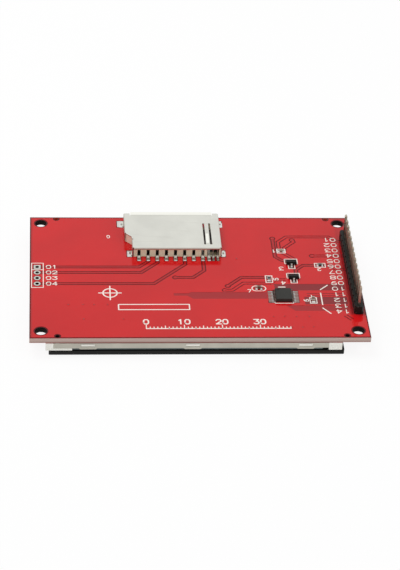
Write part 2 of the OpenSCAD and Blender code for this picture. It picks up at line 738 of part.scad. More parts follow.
module socket_switch_leaves() {
    tail_z = land_rise + contact_t / 2;
    root_z = slot_floor + contact_t / 2;
    tail = [[-tail_l, tail_z], [-0.75, tail_z], [-0.2, root_z], [1.2, root_z]];
    end_y = block_d + 6.2;
    blades = [[[leaf_xs[0], 0.5], [leaf_xs[0], block_d - 0.7], [leaf_xs[0] + 0.35, block_d + 1.1]],
              [[leaf_xs[1], 0.5], [leaf_xs[1], end_y - 1.6], [leaf_xs[1] - 0.45, end_y - 0.8],
               [leaf_xs[1], end_y]]];
    color([0.62, 0.57, 0.46]) at_socket() for (i = [0, 1]) {
        translate([leaf_xs[i], 0, 0]) strip_x(bent(tail, 0.15), contact_t, leaf_w);
        translate([0, 0, slot_floor]) linear_extrude(bay_top - slot_floor - 0.4)
            polygon(strip_outline(blades[i], 0.12));
    }
}

// ---- Pin header -------------------------------------------------------------------------
module header_strip() {
    w = strip_w / 2;
    y0 = pin_y(0) - pin_pitch / 2;
    cells = [0:pin_count - 1];
    // One side of the strip, a notch at each end of a cell
    function edge(i) = [[w - strip_notch, y0 + i * pin_pitch],
                        [w, y0 + i * pin_pitch + strip_notch],
                        [w, y0 + (i + 1) * pin_pitch - strip_notch]];
    right = [for (i = cells) each edge(i)];
    end = [[w - strip_notch, y0 + pin_count * pin_pitch]];
    side = concat(right, end);
    color([0.12, 0.12, 0.12]) at_board() translate([board_l - header_inset, 0, 0])
        linear_extrude(strip_h) difference() {
            polygon(concat(side, [for (i = [len(side) - 1:-1:0]) [-side[i][0], side[i][1]]]));
            for (i = cells) translate([0, pin_y(i)]) square(pin_s, center = true);
        }
}

// Outline of a pin seen from the side, tapered at both ends
function pin_side() =
    let (s = pin_s / 2, tip = pin_s / 5, low = -board_t - copper_t - pin_down, high = strip_h + pin_up)
    [[-tip, low], [tip, low], [s, low + pin_taper], [s, high - pin_taper], [tip, high],
     [-tip, high], [-s, high - pin_taper], [-s, low + pin_taper]];

module header_pins() {
    color([0.76, 0.68, 0.5]) for (p = header_places) at_board() translate([p[0], p[1], 0])
        intersection() {
            rotate([90, 0, 0]) linear_extrude(pin_s, center = true) polygon(pin_side());
            rotate([90, 0, 90]) linear_extrude(pin_s, center = true) polygon(pin_side());
        }
}

module header_solder() {
    land_r = pin_hole_d / 2 + 0.3;
    color([0.75, 0.75, 0.74]) for (p = header_places)
        at_board() translate([p[0], p[1], board_z - board_top - copper_t]) difference() {
            mirror([0, 0, 1]) rotate_extrude() polygon(concat(
                [[0, 0]], [for (k = [0:5]) let (a = 15 * k)
                    [land_r - (land_r - pin_s * 0.72) * sin(a), cone_h * (1 - cos(a))]],
                [[0.48, cone_h], [0, cone_h]]));
            cube([pin_s, pin_s, 3 * cone_h], center = true);
        }
}

// ---- Small parts ------------------------------------------------------------------------
// Moulded body with drafted sides, its parting line at mid height
module moulded_body(l, w, h) {
    function side(a) = [[body_draft - a, 0], [a - body_draft, 0], [a, h / 2],
                        [a - body_draft, h], [body_draft - a, h], [-a, h / 2]];
    intersection() {
        rotate([90, 0, 0]) linear_extrude(w, center = true) polygon(side(l / 2));
        rotate([90, 0, 90]) linear_extrude(l, center = true) polygon(side(w / 2));
    }
}

// Gull-wing lead in the XZ plane, from a body's side at x0 out to x1
function gull_wing(x0, x1, h) =
    let (foot = land_rise + lead_t / 2, root = standoff + land_rise + h / 2)
    [[x0, root], [x0 + (x1 - x0) * 0.35, root], [x0 + (x1 - x0) * 0.5, foot], [x1, foot]];

module at_part(at) {
    at_board() translate([at[0], at[1], 0]) children();
}

module touch_controller() {
    color([0.16, 0.17, 0.17]) at_part(controller_at)
        translate([0, 0, land_rise + standoff]) difference() {
            moulded_body(controller_w, controller_l, controller_h);
            translate([-controller_w / 2 + 0.8, controller_l / 2 - 0.8, controller_h - 0.08])
                cylinder(h = 1, d = 0.6);
        }
}

module touch_controller_leads() {
    path = bent(gull_wing(controller_w / 2, controller_span / 2, controller_h), 0.12);
    color([0.78, 0.78, 0.76]) at_part(controller_at)
        for (i = [0:controller_leads - 1], s = [0, 1]) mirror([s, 0, 0])
            translate([0, (i - (controller_leads - 1) / 2) * lead_pitch, 0])
                strip_y(path, lead_t, lead_w);
}

module sot_body(at) {
    color([0.1, 0.1, 0.1]) at_part(at) translate([0, 0, land_rise + standoff])
        moulded_body(sot_l, sot_w, sot_h);
}

module sot_leads(at) {
    path = bent(gull_wing(sot_w / 2, sot_span / 2 + 0.1, sot_h), 0.12);
    color([0.8, 0.8, 0.78]) at_part(at) for (p = [[90, 0.95], [90, -0.95], [-90, 0]])
        rotate([0, 0, p[0]]) translate([0, p[1], 0]) strip_y(path, lead_t, sot_lead_w);
}

module regulator() { sot_body(regulator_at); }
module regulator_leads() { sot_leads(regulator_at); }
module transistor() { sot_body(transistor_at); }
module transistor_leads() { sot_leads(transistor_at); }

module chip_bodies(chips, h) {
    for (c = chips) at_part(c[0]) rotate([0, 0, c[1]]) translate([0, 0, land_rise + h / 2])
        cube([chip_l - 2 * chip_end, chip_w - 0.04, h - 0.04], center = true);
}

module chip_terminals(chips, h) {
    for (c = chips, s = [-1, 1]) at_part(c[0]) rotate([0, 0, c[1]])
        translate([s * (chip_l - chip_end) / 2, 0, land_rise + h / 2])
            cube([chip_end, chip_w, h], center = true);
}

module resistor_bodies() { color([0.15, 0.15, 0.15]) chip_bodies(resistors, resistor_h); }
module resistor_terminals() { color([0.8, 0.8, 0.78]) chip_terminals(resistors, resistor_h); }
module capacitor_bodies() { color([0.4, 0.28, 0.18]) chip_bodies(capacitors, capacitor_h); }
module capacitor_terminals() { color([0.8, 0.8, 0.78]) chip_terminals(capacitors, capacitor_h); }

// ---- Display panel ----------------------------------------------------------------------
// Sheet from x0 to x1, held in from the long faces by inset
module sheet(x0, x1, inset, z, t) {
    box([x0, inset, z], [x1, frame_w - inset, z + t]);
}

// Sheet ring: the same with an opening
module ring(outer, opening, z, t) {
    difference() {
        sheet(outer[0], outer[1], outer[2], z, t);
        sheet(opening[0], opening[1], opening[2], z - 1, t + 2);
    }
}

hook_z0 = wall_z + 0.15;
hook_z1 = back_z - 0.2;

module back_frame() {
    corner = 5.9;
    mid = back_z + back_t / 2;
    skirt_z = back_z + back_t - skirt_h;
    x0 = left_end;
    x1 = frame_l - right_end;
    skirt = bent([[back_t / 2, skirt_z], [back_t / 2, mid], [frame_w - back_t / 2, mid],
                  [frame_w - back_t / 2, skirt_z]], 0.25);
    color([0.7, 0.7, 0.64]) at_display() difference() {
        union() {
            translate([(x0 + x1) / 2, 0, 0]) strip_x(skirt, back_t, x1 - x0);
            box([x0 - 1, corner, back_z], [x1 + right_end - 1.1, frame_w - corner, tape_z]);
            // Deeper loops round the hooks
            for (x = hooks_x, y = [0, frame_w - back_t])
                translate([x, y, skirt_z]) rotate([-90, 0, 0]) linear_extrude(back_t)
                    polygon([[-hook_w / 2 - 0.9, -0.1], [hook_w / 2 + 0.9, -0.1],
                             [hook_w / 2 + 0.3, 0.35], [-hook_w / 2 - 0.3, 0.35]]);
        }
        for (x = hooks_x)
            box([x - hook_w / 2 - 0.15, -1, hook_z0 - 0.1],
                [x + hook_w / 2 + 0.15, frame_w + 1, hook_z1 + 0.1]);
    }
}

module light_frame() {
    corner = 5.85;
    ease = 0.2;
    color([0.86, 0.86, 0.82]) at_display() {
        difference() {
            union() {
                rotate([90, 0, 90]) linear_extrude(frame_l) polygon([
                    [back_t, wall_z], [frame_w - back_t, wall_z], [frame_w - back_t, back_z - ease],
                    [frame_w - back_t - ease, back_z], [back_t + ease, back_z],
                    [back_t, back_z - ease]]);
                for (y = [0, frame_w - corner]) {
                    box([0, y, filter_z], [left_end, y + corner, tape_z]);
                    box([frame_l - right_end, y, filter_z], [frame_l, y + corner, tape_z]);
                }
                box([0, back_t, filter_z], [left_end, frame_w - back_t, wall_z + 0.1]);
                box([frame_l - right_end, back_t, filter_z],
                    [frame_l, frame_w - back_t, wall_z + 0.1]);
                // Ledges beside the glass, flush with the back's skirt
                for (y = [0, frame_w - glass_inset + 0.1])
                    box([0, y, filter_z],
                        [ledge_l, y + glass_inset - 0.1, back_z + back_t - skirt_h - 0.05]);
            }
            sheet(opening_x0, opening_x1, opening_inset, -1, 10);
            sheet(glass_x0 - 0.05, glass_x1 + 0.05, glass_inset - 0.05, -1, wall_z + 1);
            // Gaps in the end wall for the two flexible circuits
            box([glass_x1 - 1, flex_y0 - 0.3, -1], [frame_l + 1, flex_y0 + flex_w + 0.3, wall_z]);
            box([opening_x1 - 1, led_tail_y - led_tail_w / 2 - 0.2, back_z - 2 * flex_t],
                [frame_l + 1, led_tail_y + led_tail_w / 2 + 0.2, tape_z + 1]);
        }
        // Snap hooks through the windows of the back
        for (x = hooks_x, s = [0, 1]) translate([x, s * frame_w, 0]) mirror([0, s, 0])
            rotate([90, 0, 90]) linear_extrude(hook_w, center = true) polygon([
                [back_t + 0.1, hook_z0], [back_t / 2, hook_z0], [-0.05, hook_z1 - 0.15],
                [-0.05, hook_z1], [back_t + 0.1, hook_z1]]);
    }
}

module reflector() {
    color([0.93, 0.93, 0.93]) at_display()
        sheet(opening_x0 + 0.1, guide_x1 - 1, opening_inset + 0.1, reflector_z, reflector_t);
}

module light_guide() {
    color([0.85, 0.92, 0.95, 0.6]) at_display()
        sheet(opening_x0 + 0.1, guide_x1, opening_inset + 0.1, guide_z, guide_t);
}

module optical_film(i) {
    at_display() sheet(opening_x0 + 0.1, guide_x1 - 0.2, opening_inset + 0.15,
                       film_z + i * film_t, film_t);
}

module lower_prism_film() { color([0.88, 0.9, 0.9]) optical_film(1); }
module upper_prism_film() { color([0.9, 0.92, 0.92]) optical_film(0); }
module diffuser_film() { color([0.94, 0.94, 0.94]) optical_film(2); }

function led_y(i) = frame_w * (i + 0.5) / led_count;

module backlight_leds() {
    color([0.95, 0.9, 0.6]) at_display() for (i = [0:led_count - 1])
        box([guide_x1 + 0.1, led_y(i) - 1.4, reflector_z - 0.6],
            [guide_x1 + 0.9, led_y(i) + 1.4, reflector_z]);
}

module backlight_flex() {
    z = reflector_z + reflector_t - flex_t / 2;
    land_z = board_z - copper_t - flex_t / 2;
    x0 = guide_x1 - 0.8;
    color([0.85, 0.6, 0.2]) at_display() {
        box([x0, opening_inset + 0.3, z - flex_t / 2],
            [guide_x1 + 2.2, frame_w - opening_inset - 0.3, z + flex_t / 2]);
        translate([0, led_tail_y, 0])
            strip_y(bent([[guide_x1, z], [frame_l + 1.2, z], [frame_l + 2.2, land_z],
                          [tail_land_x + tail_land_l, land_z]], 0.5), flex_t, led_tail_w);
    }
}

module rim_tape() {
    color([0.06, 0.06, 0.06]) at_display()
        ring([glass_x0 + 0.1, glass_x1 - 0.2, glass_inset + 0.1],
             [view_x0 - 0.1, view_x1 + 0.1, view_inset - 0.1], rear_polariser_z, rim_tape_t);
}

module lower_polariser() {
    color([0.3, 0.32, 0.36]) at_display()
        sheet(view_x0, view_x1, view_inset, rear_polariser_z, polariser_t);
}

module tft_glass() {
    color([0.5, 0.56, 0.56, 0.8]) at_display()
        sheet(glass_x0, glass_x1, glass_inset, tft_z, glass_t);
}

module filter_glass() {
    color([0.4, 0.45, 0.45, 0.8]) at_display()
        sheet(glass_x0, filter_x1, glass_inset, filter_z, glass_t);
}

module upper_polariser() {
    color([0.12, 0.13, 0.15]) at_display()
        sheet(glass_x0 + 0.7, filter_x1 - 0.5, glass_inset + 0.6, front_polariser_z, polariser_t);
}

module driver_chip() {
    color([0.3, 0.3, 0.32]) at_display()
        box([filter_x1 + 0.7, (frame_w - driver_l) / 2, tft_z - driver_h],
            [filter_x1 + 0.7 + driver_w, (frame_w + driver_l) / 2, tft_z]);
}

module display_flex() {
    bond_z = tft_z - flex_t / 2;
    lie_z = tape_z + flex_t / 2;
    turn_x = frame_l + 1.2;
    color([0.8, 0.5, 0.15]) at_display() translate([0, flex_y0 + flex_w / 2, 0])
        strip_y(bent([[glass_x1 - 1.3, bond_z], [turn_x, bond_z], [turn_x, lie_z],
                      [flex_end_x, lie_z]], 0.85), flex_t, flex_w);
}

module display_flex_solder() {
    color([0.75, 0.75, 0.74]) at_display() for (i = [0:flex_lands - 1])
        box([flex_end_x + 0.4, flex_land_y(i) - 0.25, tape_z + flex_t],
            [flex_end_x + flex_land_l, flex_land_y(i) + 0.25, board_z - copper_t]);
}

module foam_tapes() {
    color([0.2, 0.2, 0.2]) at_display() for (y = [2.5, frame_w / 2 - 2.5, frame_w - 7.5])
        box([4, y, tape_z], [flex_end_x - 2, y + 5, tape_z + tape_t]);
}

// ---- Touch panel ------------------------------------------------------------------------
module touch_outline(inset = 0) {
    r = touch_r;
    w = touch_w - 2 * inset;
    l = touch_l - 2 * inset;
    translate([touch_x + inset, (frame_w - touch_w) / 2 + inset]) {
        translate([r, 0]) square([l - 2 * r, w]);
        translate([0, r]) square([l, w - 2 * r]);
        for (x = [r, l - r], y = [r, w - r]) translate([x, y]) circle(r = r);
    }
}

module touch_sheet(z, t) {
    at_display() translate([0, 0, z]) linear_extrude(t) touch_outline();
}

module touch_frame(z, t) {
    at_display() translate([0, 0, z]) linear_extrude(t) difference() {
        touch_outline();
        translate([touch_x + gasket_w, (frame_w - touch_w) / 2 + gasket_w])
            square([touch_l - 2 * gasket_w, touch_w - 2 * gasket_w]);
        children();
    }
}

module touch_gasket() { color([0.08, 0.08, 0.08]) touch_frame(gasket_z, gasket_t); }
module touch_glass() { color([0.13, 0.14, 0.14]) touch_sheet(touch_glass_z, touch_glass_t); }
module touch_film() { color([0.16, 0.17, 0.17]) touch_sheet(0, touch_film_t); }

module touch_spacer() {
    color([0.3, 0.3, 0.28]) touch_frame(spacer_z, spacer_t)
        translate([touch_x + touch_l - 2, tail_y - tail_w / 2 - 0.2]) square([5, tail_w + 0.4]);
}

module touch_tail() {
    z0 = spacer_z + spacer_t / 2;
    z1 = board_z - copper_t - spacer_t / 2;
    turn_x = touch_x + touch_l + 1.3;
    color([0.82, 0.52, 0.16]) at_display() translate([0, tail_y, 0])
        strip_y(bent([[touch_x + touch_l - 1.5, z0], [turn_x, z0], [turn_x, z1],
                      [tail_land_x + tail_land_l, z1]], 0.5), spacer_t, tail_w);
}

circuit_board();
copper_layer();
solder_lands();
breakout_lands();
socket_shell();
socket_housing();
socket_contacts();
socket_switch_leaves();
header_strip();
header_pins();
header_solder();
touch_controller();
touch_controller_leads();
regulator();
regulator_leads();
transistor();
transistor_leads();
resistor_bodies();
resistor_terminals();
capacitor_bodies();
capacitor_terminals();
back_frame();
light_frame();
reflector();
light_guide();
diffuser_film();
lower_prism_film();
upper_prism_film();
backlight_flex();
backlight_leds();
rim_tape();
lower_polariser();
tft_glass();
filter_glass();
upper_polariser();
driver_chip();
display_flex();
display_flex_solder();
foam_tapes();
touch_gasket();
touch_glass();
touch_spacer();
touch_film();
touch_tail();
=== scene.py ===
"""Looks of a colour display module: a red circuit board over a display panel, with a memory
card socket, a row of header pins and the small parts of the touch controller.

Lengths are in millimetres, except in the studio, and texture scales are repeats a metre. Places
on the board count from its near left corner and up from its component side, and become metres
of the row frame where a mesh or a material is made.
"""
import json
import logging
import math
from dataclasses import dataclass, field
from enum import Enum
from functools import cache

import bmesh
import bpy
from mathutils import Matrix, Vector


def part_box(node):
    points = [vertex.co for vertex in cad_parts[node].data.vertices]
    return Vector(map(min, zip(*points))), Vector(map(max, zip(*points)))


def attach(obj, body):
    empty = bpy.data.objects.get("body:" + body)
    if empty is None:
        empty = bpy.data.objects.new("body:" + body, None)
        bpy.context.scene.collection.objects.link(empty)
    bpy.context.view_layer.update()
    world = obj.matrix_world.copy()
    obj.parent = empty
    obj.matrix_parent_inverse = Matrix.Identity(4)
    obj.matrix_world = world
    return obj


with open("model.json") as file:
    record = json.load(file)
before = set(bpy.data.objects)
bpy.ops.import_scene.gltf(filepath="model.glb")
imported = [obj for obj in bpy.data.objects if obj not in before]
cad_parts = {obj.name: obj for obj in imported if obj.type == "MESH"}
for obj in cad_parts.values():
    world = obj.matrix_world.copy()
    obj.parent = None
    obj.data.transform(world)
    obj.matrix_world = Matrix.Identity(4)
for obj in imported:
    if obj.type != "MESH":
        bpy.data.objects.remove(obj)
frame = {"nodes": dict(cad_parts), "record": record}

LOG = logging.getLogger("display_module")
MM = 0.001
# Points of a CAD mesh that are closer than this, in metres, are one point
MERGE = 1e-7
BODY = "root"
Colour = tuple[float, float, float]
Point = tuple[float, float]


class Axis(Enum):
    """Direction in which a rolled or cut surface carries its fine lines."""

    ALONG_X = (0.04, 1.0, 1.0)
    ALONG_Y = (1.0, 0.04, 1.0)
    ALONG_Z = (1.0, 1.0, 0.04)


class Texture(Enum):
    """How the fine relief of a surface is made, and how much detail it has."""

    GRAIN = ("grain", 4.0)
    STREAK = ("streak", 4.0)
    RIPPLE = ("ripple", 1.0)

    @property
    def detail(self) -> float:
        """Detail of the noise."""
        return self.value[1]


# ---- Shading --------------------------------------------------------------------------------
class Tree:
    """A shader node tree with short calls that add and link nodes."""

    def __init__(self, tree: bpy.types.NodeTree) -> None:
        """Keep the tree that the calls work on."""
        self.tree = tree

    def fill(self, socket: bpy.types.NodeSocket, value: object) -> None:
        """Link a socket to another, or set its value.

        Args:
            socket: The input to fill.
            value: A source socket, a number, a vector or a colour.
        """
        if isinstance(value, bpy.types.NodeSocket):
            self.tree.links.new(value, socket)
        elif isinstance(value, tuple) and len(value) == 3 and socket.type == "RGBA":
            socket.default_value = (*value, 1.0)
        else:
            socket.default_value = value

    def node(self, kind: str, inputs: dict[object, object] | None = None,
             **settings: object) -> bpy.types.Node:
        """Add a node.

        Args:
            kind: The node's type, without the ShaderNode prefix.
            inputs: Value or source socket of each input, by name or number.
            settings: The node's own settings.

        Returns:
            The new node.
        """
        made = self.tree.nodes.new("ShaderNode" + kind)
        for key, value in settings.items():
            setattr(made, key, value)
        for key, value in (inputs or {}).items():
            self.fill(made.inputs[key], value)
        return made

    def math(self, operation: str, first: object, second: object = 0.0,
             third: object = 0.0) -> bpy.types.NodeSocket:
        """Result of a math node on up to three values."""
        return self.node("Math", {0: first, 1: second, 2: third}, operation=operation).outputs[0]

    def both(self, *masks: object) -> bpy.types.NodeSocket:
        """Product of masks.

        Args:
            masks: Two or more masks.

        Returns:
            The mask of what all of them cover.
        """
        result = masks[0]
        for mask in masks[1:]:
            result = self.math("MULTIPLY", result, mask)
        return result

    def between(self, value: object, low: float, high: float) -> bpy.types.NodeSocket:
        """Mask of the values between two limits."""
        return self.both(self.math("GREATER_THAN", value, low),
                         self.math("LESS_THAN", value, high))

    def off(self, value: object, middle: float) -> bpy.types.NodeSocket:
        """Distance of a value from a middle."""
        return self.math("ABSOLUTE", self.math("SUBTRACT", value, middle))

    def blend(self, share: object, first: object, second: object) -> bpy.types.NodeSocket:
        """Colour between two colours."""
        made = self.node("Mix", {0: share, 6: first, 7: second}, data_type="RGBA")
        return made.outputs[2]

    def ramp(self, value: object, low: float, high: float, to_low: float = 0.0,
             to_high: float = 1.0) -> bpy.types.NodeSocket:
        """Value mapped from one range to another, clamped."""
        made = self.node("MapRange", {"Value": value, "From Min": low, "From Max": high,
                                      "To Min": to_low, "To Max": to_high})
        return made.outputs[0]

    def fade(self, value: object, origin: float, span: Point, to_low: float = 0.0,
             to_high: float = 1.0) -> bpy.types.NodeSocket:
        """Ramp between two distances from an origin.

        Args:
            value: A place in the row frame.
            origin: Where the distances count from, in metres.
            span: Distances at which the ramp starts and ends, in millimetres.
            to_low: Value at the start.
            to_high: Value at the end.

        Returns:
            The ramp's socket.
        """
        return self.ramp(value, origin + span[0] * MM, origin + span[1] * MM, to_low, to_high)

    def point(self) -> bpy.types.NodeSocket:
        """Place in the row frame, in metres."""
        return self.node("TexCoord").outputs["Object"]

    def place(self) -> tuple[bpy.types.NodeSocket, ...]:
        """X, Y and Z of a place in the row frame, in metres."""
        return tuple(self.node("SeparateXYZ", {0: self.point()}).outputs)

    def facing(self) -> tuple[bpy.types.NodeSocket, ...]:
        """X, Y and Z of the surface's true normal."""
        normal = self.node("NewGeometry").outputs["True Normal"]
        return tuple(self.node("SeparateXYZ", {0: normal}).outputs)


class Effect(Tree):
    """A shader node group with named inputs and outputs, which several finishes share."""

    def __init__(self, name: str, **inputs: object) -> None:
        """Start the group.

        Args:
            name: Name of the group.
            inputs: Default value of each input. Four numbers make a colour, three a vector.
        """
        super().__init__(bpy.data.node_groups.new(name, "ShaderNodeTree"))
        for label, value in inputs.items():
            kind = "NodeSocketFloat"
            if isinstance(value, tuple):
                kind = "NodeSocketColor" if len(value) == 4 else "NodeSocketVector"
            socket = self.tree.interface.new_socket(label, in_out="INPUT", socket_type=kind)
            socket.default_value = value
        self.given = self.tree.nodes.new("NodeGroupInput").outputs

    def close(self, **outputs: bpy.types.NodeSocket) -> bpy.types.NodeTree:
        """Name the outputs.

        Args:
            outputs: Source socket of each output. Colour is a colour, the others are numbers.

        Returns:
            The finished group.
        """
        for label in outputs:
            kind = "NodeSocketColor" if label == "Colour" else "NodeSocketFloat"
            self.tree.interface.new_socket(label, in_out="OUTPUT", socket_type=kind)
        end = self.tree.nodes.new("NodeGroupOutput")
        for label, source in outputs.items():
            self.fill(end.inputs[label], source)
        return self.tree


@cache
def tone_effect() -> bpy.types.NodeTree:
    """Cloudy change of a colour's value, and a mask of the same clouds.

    Returns:
        The group, with Colour and Mask outputs.
    """
    group = Effect("tone", Colour=(0.5, 0.5, 0.5, 1.0), Amount=0.1, Scale=100.0)
    clouds = group.node("TexNoise", {"Vector": group.point(), "Scale": group.given["Scale"],
                                     "Detail": 4.0}).outputs[0]
    swing = group.ramp(clouds, 0.3, 0.7, -1.0, 1.0)
    level = group.math("MULTIPLY_ADD", swing, group.given["Amount"], 1.0)
    changed = group.node("VectorMath", {0: group.given["Colour"], "Scale": level},
                         operation="SCALE")
    return group.close(Colour=changed.outputs[0], Mask=clouds)


@cache
def relief_effect() -> bpy.types.NodeTree:
    """Fine relief of a surface, stretched along one direction for rolled metal.

    Returns:
        The group, with a Height output from 0 to 1.
    """
    group = Effect("relief", Stretch=(1.0, 1.0, 1.0), Scale=2000.0, Detail=3.0)
    stretched = group.node("VectorMath", {0: group.point(), 1: group.given["Stretch"]},
                           operation="MULTIPLY")
    fine = group.node("TexNoise", {"Vector": stretched.outputs[0], "Scale": group.given["Scale"],
                                   "Detail": group.given["Detail"]})
    return group.close(Height=fine.outputs[0])


@cache
def specks_effect() -> bpy.types.NodeTree:
    """Mask of scattered specks, such as dust or pits.

    Returns:
        The group, with a Mask output that is 1 on a speck.
    """
    group = Effect("specks", Scale=400.0, Size=0.12)
    cells = group.node("TexVoronoi", {"Vector": group.point(), "Scale": group.given["Scale"]})
    return group.close(Mask=group.math("LESS_THAN", cells.outputs["Distance"],
                                       group.given["Size"]))


class Shader(Tree):
    """A material's node tree."""

    def __init__(self, name: str) -> None:
        """Start an empty material.

        Args:
            name: Name of the material.
        """
        self.material = bpy.data.materials.new(name)
        self.material.use_nodes = True
        super().__init__(self.material.node_tree)
        self.tree.nodes.clear()

    def effect(self, group: bpy.types.NodeTree, **inputs: object) -> bpy.types.Node:
        """Place a shared effect.

        Args:
            group: The effect.
            inputs: Its inputs' values or source sockets.

        Returns:
            The group node.
        """
        made = self.node("Group", None, node_tree=group)
        for key, value in inputs.items():
            self.fill(made.inputs[key], value)
        return made

    def tone(self, colour: object, amount: float, scale: float) -> bpy.types.Node:
        """Place the cloudy tone, with a Colour and a Mask output."""
        return self.effect(tone_effect(), Colour=colour, Amount=amount, Scale=scale)

    def grain(self, scale: float, detail: float,
              stretch: tuple[float, ...] = (1.0, 1.0, 1.0)) -> bpy.types.NodeSocket:
        """Height of the shared relief."""
        return self.effect(relief_effect(), Stretch=stretch, Scale=scale,
                           Detail=detail).outputs[0]

    def specks(self, scale: float, size: float) -> bpy.types.NodeSocket:
        """Mask of the shared specks."""
        return self.effect(specks_effect(), Scale=scale, Size=size).outputs[0]

    def sheen(self, relief: object, roughness: float, swing: float) -> bpy.types.NodeSocket:
        """Roughness that swings about its middle with a relief or a mask."""
        return self.math("MULTIPLY_ADD", relief, swing, roughness - swing / 2)

    def bump(self, height: object, depth: float, under: object = None) -> bpy.types.NodeSocket:
        """Normal of a surface with a relief.

        Args:
            height: Height from 0 to 1.
            depth: Depth of the relief in millimetres.
            under: Normal of a coarser relief below this one.

        Returns:
            The normal socket.
        """
        made = self.node("Bump", {"Height": height, "Strength": 1.0, "Distance": depth * MM})
        if under is not None:
            self.fill(made.inputs["Normal"], under)
        return made.outputs[0]

    def surface(self, **inputs: object) -> bpy.types.Material:
        """Close the tree with a Principled BSDF.

        Args:
            inputs: The shader's inputs, with underscores for spaces.

        Returns:
            The finished material.
        """
        return self.output(self.node(
            "BsdfPrincipled", {key.replace("_", " "): value for key, value in inputs.items()}))

    def output(self, shader: bpy.types.Node) -> bpy.types.Material:
        """Show a shader node as the material's surface.

        Args:
            shader: The node.

        Returns:
            The finished material.
        """
        self.node("OutputMaterial", {"Surface": shader.outputs[0]})
        return self.material


# ---- Finishes -------------------------------------------------------------------------------
@dataclass(frozen=True)
class Finish:
    """A surface of one colour, with cloudy tone, fine relief and a sheen that varies."""

    name: str
    colour: Colour
    roughness: float
    metallic: float = 0.0
    tone: float = 0.08
    tone_scale: float = 250.0
    texture: Texture = Texture.GRAIN
    axis: Axis = Axis.ALONG_X
    relief_scale: float = 4000.0
    relief_depth: float = 0.01
    roughness_swing: float = 0.08
    dust: float = 0.0
    dust_colour: Colour = (0.7, 0.68, 0.64)
    dust_scale: float = 500.0
    dust_size: float = 0.1
    coat: float = 0.0
    specular: float = 0.5
    # Colour of the parts of a node that sit beyond this Y of the row frame, in millimetres
    far_colour: Colour | None = None
    far_from: float = 0.0
    # Painted shade on the upright faces, such as the walls of plated holes
    wall: Colour | None = None

    def base(self, made: Shader) -> object:
        """Colour before the cloudy tone.

        Args:
            made: The material's tree.

        Returns:
            A colour, or the socket of one that changes over the node.
        """
        if self.wall is not None:
            level = made.math("GREATER_THAN", made.math("ABSOLUTE", made.facing()[2]), 0.5)
            return made.blend(level, self.wall, self.colour)
        if self.far_colour is None:
            return self.colour
        beyond = made.math("GREATER_THAN", made.place()[1], self.far_from * MM)
        return made.blend(beyond, self.colour, self.far_colour)

    def material(self) -> bpy.types.Material:
        """Build the material.

        Returns:
            A material whose colour, roughness and relief vary over the surface.
        """
        made = Shader(self.name)
        colour = made.tone(self.base(made), self.tone, self.tone_scale).outputs["Colour"]
        stretch = self.axis.value if self.texture is Texture.STREAK else (1.0, 1.0, 1.0)
        relief = made.grain(self.relief_scale, self.texture.detail, stretch)
        if self.dust > 0:
            specks = made.specks(self.dust_scale, self.dust_size)
            share = made.math("MULTIPLY", specks, self.dust)
            colour = made.blend(share, colour, self.dust_colour)
        return made.surface(
            Base_Color=colour, Metallic=self.metallic, Coat_Weight=self.coat,
            Roughness=made.sheen(relief, self.roughness, self.roughness_swing),
            Specular_IOR_Level=self.specular, Normal=made.bump(relief, self.relief_depth))


@dataclass(frozen=True)
class SocketFinish(Finish):
    """A surface of the card socket with painted shade inside the housing.

    Its lengths are in millimetres from the housing's left end and front face.
    """

    # The painted shade inside the housing, by its places along the housing and behind the front
    # face
    inner: Colour = (0.02, 0.013, 0.008)
    start: float = 2.3
    stop: float = 30.0
    depth: float = 0.15
    reach: float = 12.0
    # Lighter painted shade in the open bay of the switch leaves
    bay: Colour = (0.42, 0.36, 0.22)
    bay_start: float = 20.6
    bay_depth: float = 1.8
    # Painted light: a lighter colour on the stepped corner at the left end
    corner: Colour | None = None

    def base(self, made: Shader) -> object:
        """Colour before the cloudy tone, with painted shade in the slots and painted light on the
        stepped corner.

        Args:
            made: The material's tree.

        Returns:
            The socket of the colour.
        """
        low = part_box("socket_housing")[0]
        x, y, _ = made.place()
        after = made.math("GREATER_THAN", x, low.x + self.start * MM)
        within = made.both(made.between(y, low.y + self.depth * MM, low.y + self.reach * MM),
                           after, made.math("LESS_THAN", x, low.x + self.stop * MM))
        bay = made.both(made.math("GREATER_THAN", x, low.x + self.bay_start * MM),
                        made.math("LESS_THAN", y, low.y + self.bay_depth * MM))
        front = self.colour
        # Painted light on the stepped corner at the left end
        if self.corner is not None:
            front = made.blend(after, self.corner, self.colour)
        # Painted shade inside the housing, lighter in the bay
        return made.blend(within, front, made.blend(bay, self.inner, self.bay))


